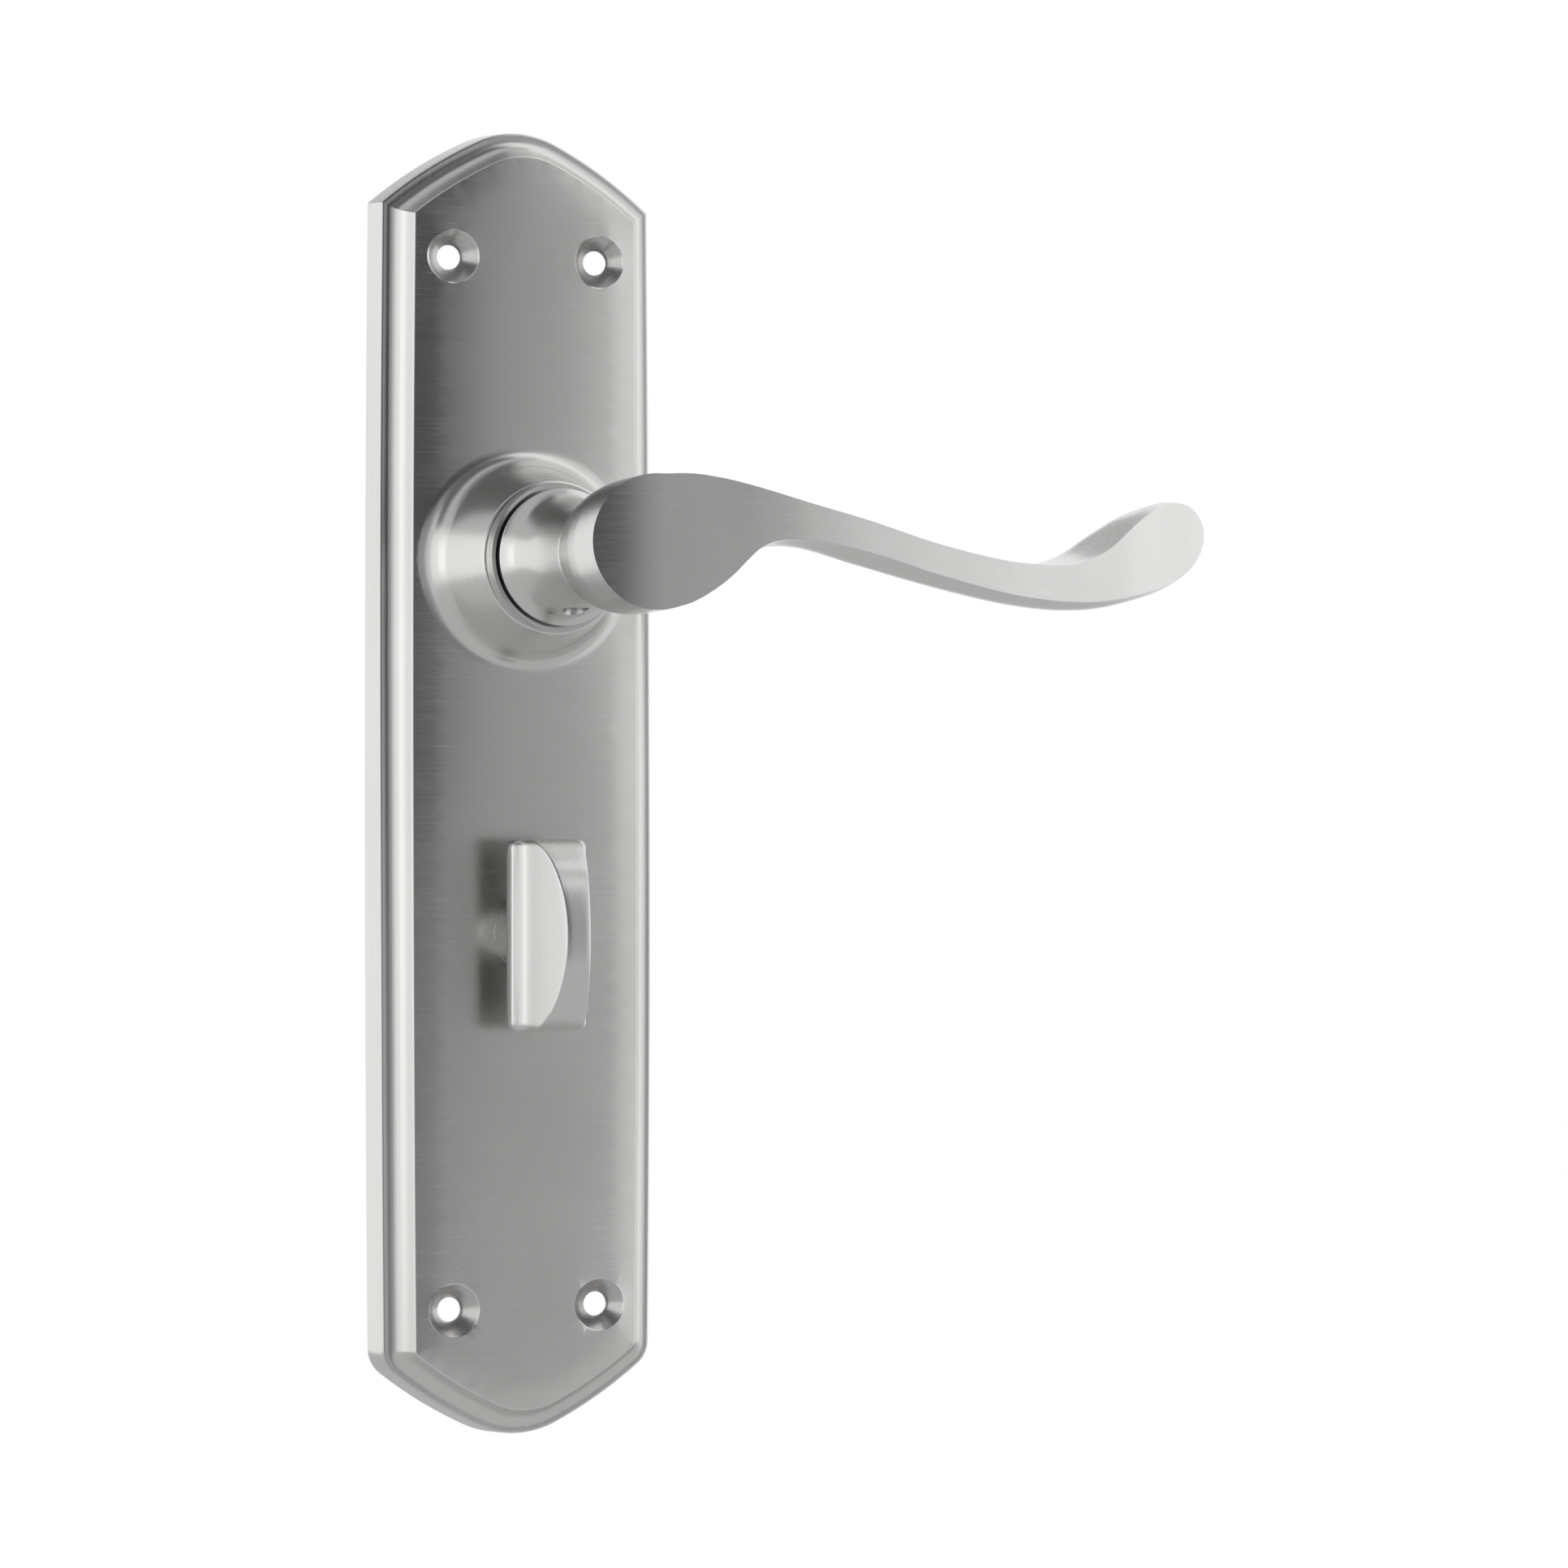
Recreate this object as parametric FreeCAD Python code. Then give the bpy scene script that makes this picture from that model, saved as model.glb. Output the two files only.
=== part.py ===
import FreeCAD, Part
import math
import os

# Door lever handle on a long backplate with a bathroom thumb-turn, in millimetres.
# Frame: origin on the lever spindle axis at the door face, +Z up, +X towards the lever tip.
# The door face is the plane Y = 0 and the handle stands out of it towards -Y.
# "Depth" below means the distance out from the door face, so depth d lies at Y = -d.

# ---------------------------------------------------------------- driving sizes
plate_height = 200.0
plate_width = 45.5
plate_depth = 10.0
plate_wall = 2.5
lever_axis_above_middle = 34.0
turn_drop = 57.0
fixing_spacing_x = 24.0
fixing_spacing_z = 160.0
fixing_hole_radius = 1.85
countersink_radius = 4.0

apex_radius = 15.5
apex_half_angle = 25.0
shoulder_drop = 11.5
side_bow = 0.45
cove_height = 4.3
outer_wall_draft = 0.4
panel_inset = 4.2
cove_steps = 6
rim_wall = 2.6
pocket_step = 2.4
pocket_inset = 5.2

boss_height = 11.2
boss_wall = 2.6
boss_fillet = 2.6
boss_edge_round = 0.5

neck_flange_cover = 0.86
neck_flange_depth = 3.4
collar_height = 30.9
facet_height = 50.4
head_radius = 9.95
head_lift = 0.95
lever_reach = 100.6
spigot_wall = 1.54
journal_step = 0.8
bush_wall = 1.5
guide_ring_wall = 0.55
guide_ring_height = 2.5
guide_ring_open_from = -80.0
guide_ring_open_to = 104.0

lever_travel_deg = 50.0
turn_travel_deg = 90.0

spindle_side = 8.0
spindle_reach = 38.0
spindle_past_boss = 9.8
turn_spindle_side = 5.0
turn_spindle_reach = 38.0
turn_spindle_past_face = 3.5

turn_journal_wall = 0.86
turn_bush_wall = 0.9
turn_stem_cover = 0.2
turn_stem_length = 6.2
turn_grip_width = 12.2
turn_grip_length = 29.0
turn_slab = 2.6
turn_ridge_height = 14.4
turn_end_height = 4.0
turn_ridge_half = 1.9
turn_end_half = 4.4

# ---------------------------------------------------------------- fits
running_gap = 0.05
seat_gap = 0.03
socket_gap = 0.1
face_gap = 0.1
ring_gap = 0.35
flange_lift = 0.3
coil_gap = 0.45

# ---------------------------------------------------------------- derived heights
middle_z = -lever_axis_above_middle
turn_z = -turn_drop
inner_face = plate_depth - plate_wall
boss_front = plate_depth + boss_height
shoulder_height = plate_height / 2 - shoulder_drop
outer_wall_height = plate_depth - cove_height
pocket_step_depth = outer_wall_height - pocket_step


def vec(x, depth, z):
    return FreeCAD.Vector(x, -depth, z)


def save(name, shape):
    shape.exportStep(os.path.join("parts", name + ".step"))


def disc(radius, low, high, x=0.0, z=0.0):
    """A round bar along the depth direction."""
    return Part.makeCylinder(radius, high - low, vec(x, low, z), FreeCAD.Vector(0, -1, 0))


def washer(inner, outer, low, high, x=0.0, z=0.0):
    return disc(outer, low, high, x, z).cut(disc(inner, low - 1.0, high + 1.0, x, z))


def block(x_size, z_size, low, high, x=0.0, z=0.0):
    corner = vec(x - x_size / 2, high, z - z_size / 2)
    return Part.makeBox(x_size, high - low, z_size, corner)


def cone(r_low, r_high, low, high, x=0.0, z=0.0):
    return Part.makeCone(r_low, r_high, high - low, vec(x, low, z), FreeCAD.Vector(0, -1, 0))


def turned(start, steps, z=0.0):
    """Revolve a closed outline of (radius, depth) points about the depth axis at height z.
    A step is a point for a straight side, or a pair (middle, end) for an arc."""
    edges = []
    here = start
    for step in steps + [start]:
        if isinstance(step[0], tuple):
            middle, end = step
            arc = Part.Arc(vec(here[0], here[1], z), vec(middle[0], middle[1], z), vec(end[0], end[1], z))
            edges.append(arc.toShape())
            here = end
        else:
            edges.append(Part.makeLine(vec(here[0], here[1], z), vec(step[0], step[1], z)))
            here = step
    face = Part.Face(Part.Wire(edges))
    return face.revolve(FreeCAD.Vector(0, 0, z), FreeCAD.Vector(0, 1, 0), 360)


def polar(radius, angle_deg, centre_z=0.0):
    """X and Z of a point at an angle measured from +X towards +Z."""
    angle = math.radians(angle_deg)
    return radius * math.cos(angle), centre_z + radius * math.sin(angle)


# ---------------------------------------------------------------- backplate outline
def circles_meet(c1, r1, c2, r2):
    """The upper right meeting point of two circles in the X-Z plane."""
    dx = c2[0] - c1[0]
    dz = c2[1] - c1[1]
    gap = math.hypot(dx, dz)
    along = (r1 * r1 - r2 * r2 + gap * gap) / (2 * gap)
    side = math.sqrt(r1 * r1 - along * along)
    points = []
    for sign in (-1, 1):
        x = c1[0] + along * dx / gap - sign * side * dz / gap
        z = c1[1] + along * dz / gap + sign * side * dx / gap
        points.append((x, z))
    return max(points, key=lambda p: p[1])


def outline_corners(inset):
    """Radii, centres and junctions of one quarter of the outline, moved in by inset."""
    half_width = plate_width / 2
    apex_centre = (0.0, plate_height / 2 - apex_radius)
    angle = math.radians(apex_half_angle)
    normal = (math.sin(angle), math.cos(angle))
    shoulder = (half_width - side_bow, shoulder_height)
    reach = (shoulder[0] - apex_centre[0], shoulder[1] - apex_centre[1])
    along = reach[0] * normal[0] + reach[1] * normal[1]
    square = reach[0] ** 2 + reach[1] ** 2
    offset = (square - apex_radius ** 2) / (2 * (along - apex_radius))
    slope_radius = apex_radius - offset
    slope_centre = (offset * normal[0], apex_centre[1] + offset * normal[1])
    side_radius = (shoulder_height ** 2 + side_bow ** 2) / (2 * side_bow)
    side_centre = (half_width - side_radius, 0.0)
    top = (0.0, apex_centre[1] + apex_radius - inset)
    tangent = (normal[0] * (apex_radius - inset), apex_centre[1] + normal[1] * (apex_radius - inset))
    corner = circles_meet(slope_centre, slope_radius - inset, side_centre, side_radius - inset)
    mid_angle = (math.atan2(corner[0] - slope_centre[0], corner[1] - slope_centre[1]) + angle) / 2
    slope_mid = (slope_centre[0] + (slope_radius - inset) * math.sin(mid_angle),
                 slope_centre[1] + (slope_radius - inset) * math.cos(mid_angle))
    side_mid = (half_width - inset, 0.0)
    return top, tangent, slope_mid, corner, side_mid


def plate_outline(inset, depth):
    top, tangent, slope_mid, corner, side_mid = outline_corners(inset)

    def at(point, sx, sz):
        return vec(sx * point[0], depth, middle_z + sz * point[1])

    arcs = [
        (at(tangent, -1, 1), at(top, 1, 1), at(tangent, 1, 1)),
        (at(tangent, 1, 1), at(slope_mid, 1, 1), at(corner, 1, 1)),
        (at(corner, 1, 1), at(side_mid, 1, 1), at(corner, 1, -1)),
        (at(corner, 1, -1), at(slope_mid, 1, -1), at(tangent, 1, -1)),
        (at(tangent, 1, -1), at(top, 1, -1), at(tangent, -1, -1)),
        (at(tangent, -1, -1), at(slope_mid, -1, -1), at(corner, -1, -1)),
        (at(corner, -1, -1), at(side_mid, -1, 1), at(corner, -1, 1)),
        (at(corner, -1, 1), at(slope_mid, -1, 1), at(tangent, -1, 1)),
    ]
    return Part.Wire([Part.Arc(*three).toShape() for three in arcs])


def plate_slab(inset, low, high):
    face = Part.Face(plate_outline(inset, low))
    return face.extrude(FreeCAD.Vector(0, low - high, 0))


# ---------------------------------------------------------------- lever stack, outwards from the axis
spring_wire_radius = 0.6
waist_step = 0.1
boss_front_land = 0.44
keeper_overlap = 1.2
cam_past_spring = 1.9
stop_pin_clear = 0.9
cam_arm_room = 0.9
cam_arm_past_pin = 1.7
cover_post_clear = 1.5
cover_end_margin = 4.5
cover_mouth_gap = 0.65
spigot_radius = spindle_side * math.sqrt(0.5) + spigot_wall
journal_radius = spigot_radius + journal_step
bush_outer_radius = journal_radius + bush_wall
spring_mean_radius = bush_outer_radius + coil_gap + spring_wire_radius
spring_chamber_radius = spring_mean_radius + spring_wire_radius + coil_gap
boss_base_radius = spring_chamber_radius + boss_wall
neck_waist_radius = spigot_radius + waist_step
neck_flange_radius = bush_outer_radius + neck_flange_cover
guide_ring_inner = neck_flange_radius + ring_gap
guide_ring_outer = guide_ring_inner + guide_ring_wall
boss_front_radius = guide_ring_outer + boss_front_land
keeper_radius = spring_chamber_radius + keeper_overlap
cam_radius = spring_mean_radius + cam_past_spring
stop_pin_radius = 1.2
stop_pin_seat = 1.6
stop_pin_orbit = keeper_radius + stop_pin_clear + stop_pin_radius
cam_arm_radius = stop_pin_orbit + cam_arm_past_pin
chamber_inset = min(pocket_inset, plate_width / 2 - cam_arm_radius - cam_arm_room)
cam_arm_half_deg = 10.0

# ---------------------------------------------------------------- lever stack, from the door face outwards
cover_back = 0.3
cover_thickness = 1.2
cover_front = cover_back + cover_thickness
cover_mouth_radius = spindle_side * math.sqrt(0.5) + cover_mouth_gap
cover_post_radius = 3.4
cover_post_z = cam_arm_radius + cover_post_clear + cover_post_radius
cover_width = 2 * cam_arm_radius
cover_height = 2 * (cover_post_z + cover_end_margin)
cover_corner = 3.0
cover_screw_radius = 1.5
cover_screw_head_radius = 2.7
cover_screw_head = 1.1
cover_screw_length = 4.6

spigot_flat_depth = 1.0
spigot_flat = spigot_radius - spigot_flat_depth
spigot_clear = 0.5
spigot_end = cover_front + spigot_clear
circlip_thickness = 1.0
circlip_land = 0.9
circlip_groove_depth = 0.6
circlip_rim = 2.2
circlip_back = spigot_end + circlip_land
circlip_front = circlip_back + circlip_thickness
cam_back = circlip_front + face_gap
cam_thickness = 1.8
cam_front = cam_back + cam_thickness
keeper_back = cam_front + face_gap
keeper_front = inner_face - face_gap

spring_turns = 3.25
spring_pitch = 1.5
spring_seat = 0.75
spring_start = inner_face + spring_seat
spring_leg_bend = 1.2
spring_leg_gap = 0.25
spring_leg_hole = spring_wire_radius + spring_leg_gap
spring_leg_seat = 2.2
spring_chamber_depth = 6.6
spring_leg_end_gap = 0.4
bush_end_gap = 0.2
pin_end_gap = 0.2
socket_end_gap = 0.5
screw_end_gap = 0.5
cross_slot_width = 0.6
cross_slot_depth = 0.7

spindle_grip = boss_front + spindle_past_boss
grub_radius = 2.0
grub_past_boss = 8.0
grub_depth = boss_front + grub_past_boss
grub_length = 3.2
grub_tip = 0.7
grub_key_width = 2.0
grub_key_depth = 1.8

# ---------------------------------------------------------------- turn stack, outwards from its axis
turn_hub_wall = 2.7
turn_flange_inset = 0.4
turn_cam_wall = 2.2
turn_stop_clear = 0.4
turn_cam_past_stop = 1.2
turn_dish_past_cam = 0.2
turn_flat_depth = 0.7
turn_socket_end_gap = 0.3
turn_journal_radius = turn_spindle_side * math.sqrt(0.5) + turn_journal_wall
turn_bush_outer = turn_journal_radius + turn_bush_wall
turn_stem_radius = turn_bush_outer + turn_stem_cover
turn_hub_radius = turn_bush_outer + turn_hub_wall
turn_bush_flange = turn_hub_radius - turn_flange_inset
turn_cam_radius = turn_journal_radius + turn_cam_wall
turn_cam_arm_half_deg = 14.0
turn_stop_radius = 1.0
turn_stop_orbit = turn_hub_radius + turn_stop_clear + turn_stop_radius
turn_cam_arm = turn_stop_orbit + turn_cam_past_stop
turn_dish_radius = turn_cam_radius + turn_dish_past_cam
turn_groove_depth = 0.45
turn_flat = turn_journal_radius - turn_flat_depth
turn_spindle_grip = plate_depth + turn_spindle_past_face

# ---------------------------------------------------------------- turn stack, from the plate towards the door
turn_hub_length = 1.9
turn_hub_back = inner_face - turn_hub_length
turn_bush_flange_thickness = 0.7
turn_bush_back = turn_hub_back - turn_bush_flange_thickness
turn_cam_thickness = 0.9
turn_cam_front = turn_bush_back - face_gap
turn_cam_back = turn_cam_front - turn_cam_thickness
turn_dish_thickness = 0.4
turn_dish_front = turn_cam_back - face_gap
turn_dish_back = turn_dish_front - turn_dish_thickness
turn_circlip_thickness = 0.7
turn_circlip_rim = 1.7
turn_circlip_front = turn_dish_back - face_gap
turn_circlip_back = turn_circlip_front - turn_circlip_thickness
turn_circlip_land = 0.7
turn_journal_end = turn_circlip_back - turn_circlip_land


def stop_angles(rest_deg, travel_deg, arm_half_deg, orbit, pin_radius):
    """Angles of two stop pins that an arm meets at rest and at the end of its travel.
    The arm turns from rest_deg towards smaller angles (clockwise seen from the front)."""
    pin_half = math.degrees(math.asin(pin_radius / orbit))
    clear = math.degrees(running_gap / orbit)
    before = rest_deg + arm_half_deg + pin_half + clear
    after = rest_deg - travel_deg - arm_half_deg - pin_half - clear
    return before, after


lever_arm_rest = 180.0
turn_arm_rest = 135.0
lever_stops = stop_angles(lever_arm_rest, lever_travel_deg, cam_arm_half_deg, stop_pin_orbit,
                          stop_pin_radius)
turn_stops = stop_angles(turn_arm_rest, turn_travel_deg, turn_cam_arm_half_deg, turn_stop_orbit,
                         turn_stop_radius)
lever_stop_points = [polar(stop_pin_orbit, angle) for angle in lever_stops]
turn_stop_points = [polar(turn_stop_orbit, angle, turn_z) for angle in turn_stops]
cover_posts = [(0.0, cover_post_z), (0.0, -cover_post_z)]
spring_front = spring_start + spring_turns * spring_pitch


def spring_leg(turns, way):
    """X and Z of the straight leg that bends off the coil after some turns. The coil starts at the top."""
    x, z = polar(spring_mean_radius, 90.0 + 360.0 * turns)
    scale = way * spring_leg_bend / spring_mean_radius
    return x - scale * z, z + scale * x


rear_leg = spring_leg(0.0, -1)
front_leg = spring_leg(spring_turns, 1)


# ---------------------------------------------------------------- backplate
def make_backplate():
    sections = [plate_outline(0.0, 0.0), plate_outline(outer_wall_draft, outer_wall_height)]
    for step in range(1, cove_steps + 1):
        angle = math.radians(90.0 * step / cove_steps)
        inset = outer_wall_draft + (panel_inset - outer_wall_draft) * math.sin(angle)
        depth = plate_depth - (plate_depth - outer_wall_height) * math.cos(angle)
        sections.append(plate_outline(inset, depth))
    body = Part.makeLoft(sections, True, True)
    body = body.cut(plate_slab(rim_wall, -1.0, pocket_step_depth))
    body = body.cut(plate_slab(chamber_inset, -1.0, inner_face))

    fillet_mid = boss_fillet * (1 - math.sqrt(0.5))
    foot = boss_base_radius + boss_fillet
    shoulder = plate_depth + boss_fillet
    edge_mid = boss_edge_round * math.sqrt(0.5)
    boss = turned((0.0, inner_face), [
        (foot, inner_face),
        (foot, plate_depth),
        ((boss_base_radius + fillet_mid, plate_depth + fillet_mid), (boss_base_radius, shoulder)),
        (boss_front_radius, boss_front - boss_edge_round),
        ((boss_front_radius - boss_edge_round + edge_mid, boss_front - boss_edge_round + edge_mid),
         (boss_front_radius - boss_edge_round, boss_front)),
        (0.0, boss_front),
    ])
    body = body.fuse(boss)
    body = body.fuse(disc(turn_hub_radius, turn_hub_back, inner_face + 1.0, 0.0, turn_z))
    for x, z in cover_posts:
        body = body.fuse(disc(cover_post_radius, cover_front, inner_face + 1.0, x, z))

    body = body.cut(disc(bush_outer_radius + seat_gap, 0.0, boss_front + 1.0))
    body = body.cut(disc(spring_chamber_radius, 0.0, inner_face + spring_chamber_depth))
    leg_end = inner_face + spring_chamber_depth + spring_leg_seat
    body = body.cut(disc(spring_leg_hole, inner_face, leg_end, *front_leg))
    body = body.cut(disc(turn_bush_outer + seat_gap, 0.0, plate_depth + 1.0, 0.0, turn_z))
    for x, z in lever_stop_points:
        body = body.cut(disc(stop_pin_radius, 0.0, inner_face + stop_pin_seat, x, z))
    for x, z in turn_stop_points:
        body = body.cut(disc(turn_stop_radius, 0.0, inner_face + stop_pin_seat, x, z))
    for x, z in cover_posts:
        body = body.cut(disc(cover_screw_radius, 0.0, cover_front + cover_screw_length, x, z))
    for x in (-fixing_spacing_x / 2, fixing_spacing_x / 2):
        for z in (middle_z - fixing_spacing_z / 2, middle_z + fixing_spacing_z / 2):
            sink = countersink_radius - fixing_hole_radius
            body = body.cut(disc(fixing_hole_radius, 0.0, plate_depth + 1.0, x, z))
            body = body.cut(cone(fixing_hole_radius, countersink_radius, plate_depth - sink, plate_depth, x, z))
    return body


def make_lever_bush():
    return washer(journal_radius + running_gap, bush_outer_radius, inner_face + bush_end_gap, boss_front)


def make_guide_ring():
    """C-shaped ring on the boss front, open on the lever side."""
    ring = washer(guide_ring_inner, guide_ring_outer, boss_front, boss_front + guide_ring_height)
    reach = 2 * guide_ring_outer
    wedge = [vec(0, boss_front - 1, 0)]
    steps = 8
    for index in range(steps + 1):
        share = index / steps
        angle = guide_ring_open_from + share * (guide_ring_open_to - guide_ring_open_from)
        x, z = polar(reach, angle)
        wedge.append(vec(x, boss_front - 1, z))
    wedge.append(wedge[0])
    mouth = Part.Face(Part.makePolygon(wedge)).extrude(FreeCAD.Vector(0, -guide_ring_height - 2, 0))
    return ring.cut(mouth)


def make_stop_pins(points, radius, back):
    pins = [disc(radius, back, inner_face + stop_pin_seat, x, z) for x, z in points]
    return Part.makeCompound(pins)


# ---------------------------------------------------------------- lever
# Stations along the shank: share of the reach, drop of the facet towards the door, thickness behind it,
# then the Z of four edges: top of the facet, top at the back, bottom of the facet, underside.
lever_stations = [
    (-0.02, 0.0, 13.0, 10.2, 9.0, -8.0, -8.2),
    (0.05, 0.0, 15.0, 10.9, 9.8, -7.9, -8.3),
    (0.11, 0.0, 14.0, 10.2, 9.2, -4.4, -4.9),
    (0.17, 0.0, 12.6, 8.9, 8.0, 0.8, 0.0),
    (0.24, 0.2, 11.2, 7.1, 6.4, 1.6, 0.7),
    (0.34, 0.9, 10.3, 4.7, 4.2, 0.1, -1.6),
    (0.46, 2.2, 10.2, 1.5, 1.2, -3.0, -4.4),
    (0.58, 4.1, 10.2, -0.7, -0.7, -5.5, -6.7),
    (0.66, 5.9, 10.3, -1.2, -0.9, -6.4, -7.6),
    (0.72, 7.3, 10.2, -0.9, 0.8, -6.6, -7.8),
    (0.78, 9.0, 9.5, 1.5, 4.3, -6.2, -7.4),
    (0.84, 10.9, 8.7, 5.8, 7.3, -5.1, -6.2),
    (0.90, 13.4, 7.4, 8.7, 8.6, -3.6, -4.5),
    (0.95, 16.1, 6.0, 8.8, 8.2, -1.5, -2.2),
    (0.985, 18.6, 4.4, 7.2, 6.8, 1.2, 0.8),
    (1.0, 19.9, 3.1, 5.4, 5.2, 3.4, 3.3),
]


def shank_section(share, drop, depth, top, back_top, low, under):
    """One closed section: a flat facet in front and a rounded body behind it."""
    x = share * lever_reach
    front = facet_height - drop
    back = front - depth
    height = top - under
    points = [
        (front, top),
        (front - 0.4 * depth, top + 0.5 * (back_top - top) + 0.03 * height),
        (front - 0.8 * depth, back_top - 0.06 * height),
        (back, 0.5 * (back_top + under)),
        (front - 0.8 * depth, under + 0.12 * height),
        (front - 0.45 * depth, under),
        (front, low),
    ]
    curve = Part.BSplineCurve()
    curve.interpolate([vec(x, plate_depth + d, z) for d, z in points])
    facet = Part.makeLine(vec(x, plate_depth + front, low), vec(x, plate_depth + front, top))
    return Part.Wire([curve.toShape(), facet])


def head_section(radius, height, lift):
    centre = vec(0, plate_depth + height, lift)
    return Part.Wire([Part.makeCircle(radius, centre, FreeCAD.Vector(0, -1, 0))])


def make_lever_handle():
    flange_back = boss_front + flange_lift
    flange_front = flange_back + neck_flange_depth
    collar = plate_depth + collar_height
    neck_mid = (neck_waist_radius + 0.55, flange_front + 0.42 * (collar - flange_front))
    neck = turned((0.0, spigot_end), [
        (spigot_radius, spigot_end),
        (spigot_radius, keeper_back),
        (journal_radius, keeper_back),
        (journal_radius, flange_back),
        (neck_flange_radius, flange_back),
        (neck_flange_radius, flange_front),
        (neck_mid, (neck_waist_radius, collar)),
        (0.0, collar + 0.5),
    ])
    swell = head_radius - neck_waist_radius
    rise = facet_height - collar_height
    head = Part.makeLoft([
        head_section(neck_waist_radius + swell * share, collar_height + rise * up, head_lift * up)
        for up, share in ((0.0, 0.0), (0.12, 0.44), (0.3, 0.8), (0.6, 1.0), (0.8, 1.0), (1.0, 0.98))
    ], True, False)
    shank = Part.makeLoft([shank_section(*station) for station in lever_stations], True, False)
    lever = neck.fuse(head).fuse(shank)

    groove = washer(spigot_radius - circlip_groove_depth, spigot_radius + 1, circlip_back, circlip_front)
    lever = lever.cut(groove)
    for sign in (-1, 1):
        flat = block(4.0, 4 * spigot_radius, spigot_end - 1, keeper_back, sign * (spigot_flat + 2.0), 0.0)
        lever = lever.cut(flat)
    socket = spindle_side + 2 * socket_gap
    lever = lever.cut(block(socket, socket, 0.0, spindle_grip + socket_end_gap))
    down = FreeCAD.Vector(0, 0, -1)
    return lever.cut(Part.makeCylinder(grub_radius, 2 * neck_flange_radius, vec(0, grub_depth, 0), down))


def make_grub_screw():
    """Hexagon-socket grub screw up through the underside of the neck onto the spindle's flat."""
    point = -(spindle_side / 2 + socket_gap / 2)
    down = FreeCAD.Vector(0, 0, -1)
    body_radius = grub_radius - seat_gap
    screw = Part.makeCylinder(body_radius, grub_length - grub_tip, vec(0, grub_depth, point - grub_tip), down)
    nose = Part.makeCone(body_radius - grub_tip, body_radius, grub_tip, vec(0, grub_depth, point), down)
    corner = grub_key_width / 2 / math.cos(math.radians(30))
    corners = []
    for index in range(7):
        x, out = polar(corner, 60 * index, grub_depth)
        corners.append(vec(x, out, point - grub_length))
    key = Part.Face(Part.makePolygon(corners)).extrude(FreeCAD.Vector(0, 0, grub_key_depth))
    return screw.fuse(nose).cut(key)


def make_square_bar(side, reach, grip, z=0.0):
    """A square bar from inside the neck to behind the door face, with its ends broken."""
    bar = block(side, side, -reach, grip, 0.0, z)
    ends = [edge for edge in bar.Edges if abs(edge.Vertexes[0].Y - edge.Vertexes[1].Y) < 1e-6]
    return bar.makeChamfer(side / 12, ends)


# ---------------------------------------------------------------- lever drive pieces
def arm_sector(radius, low, high, centre_deg, half_deg, z=0.0):
    """A straight-sided arm from the axis out to a radius."""
    pieces = []
    for sign in (-1, 1):
        pieces.append(polar(radius, centre_deg + sign * half_deg, z))
    tip = polar(radius, centre_deg, z)
    axis = vec(0, low, z)
    a = vec(pieces[0][0], low, pieces[0][1])
    b = vec(pieces[1][0], low, pieces[1][1])
    arc = Part.Arc(a, vec(tip[0], low, tip[1]), b).toShape()
    outline = Part.Wire([Part.makeLine(axis, a), arc, Part.makeLine(b, axis)])
    return Part.Face(outline).extrude(FreeCAD.Vector(0, low - high, 0))


def keyed_hole(radius, flat, low, high, z=0.0):
    bar = disc(radius, low, high, 0.0, z)
    return bar.common(block(2 * flat, 4 * radius, low, high, 0.0, z))


def make_cam_plate():
    cam = disc(cam_radius, cam_back, cam_front)
    cam = cam.fuse(arm_sector(cam_arm_radius, cam_back, cam_front, lever_arm_rest, cam_arm_half_deg))
    hole = keyed_hole(spigot_radius + running_gap, spigot_flat + running_gap, cam_back - 1, cam_front + 1)
    return cam.cut(hole).cut(disc(spring_leg_hole, cam_back - 1, cam_front + 1, *rear_leg))


def make_spring_keeper():
    keeper = washer(journal_radius + running_gap, keeper_radius, keeper_back, keeper_front)
    return keeper.cut(disc(spring_leg_hole, keeper_back - 1, keeper_front + 1, *rear_leg))


def bent_leg(point, leaving, axial, length):
    """A bend off the coil's end and a straight leg along the axis, as two edges."""
    turn = math.acos(leaving.dot(axial))
    toward = axial - leaving * leaving.dot(axial)
    toward.normalize()
    centre = point + toward * spring_leg_bend

    def around(angle):
        back = toward * (spring_leg_bend * math.cos(angle))
        return centre - back + leaving * (spring_leg_bend * math.sin(angle))

    bend = Part.Arc(point, around(turn / 2), around(turn)).toShape()
    return bend, Part.makeLine(around(turn), around(turn) + axial * length)


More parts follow.
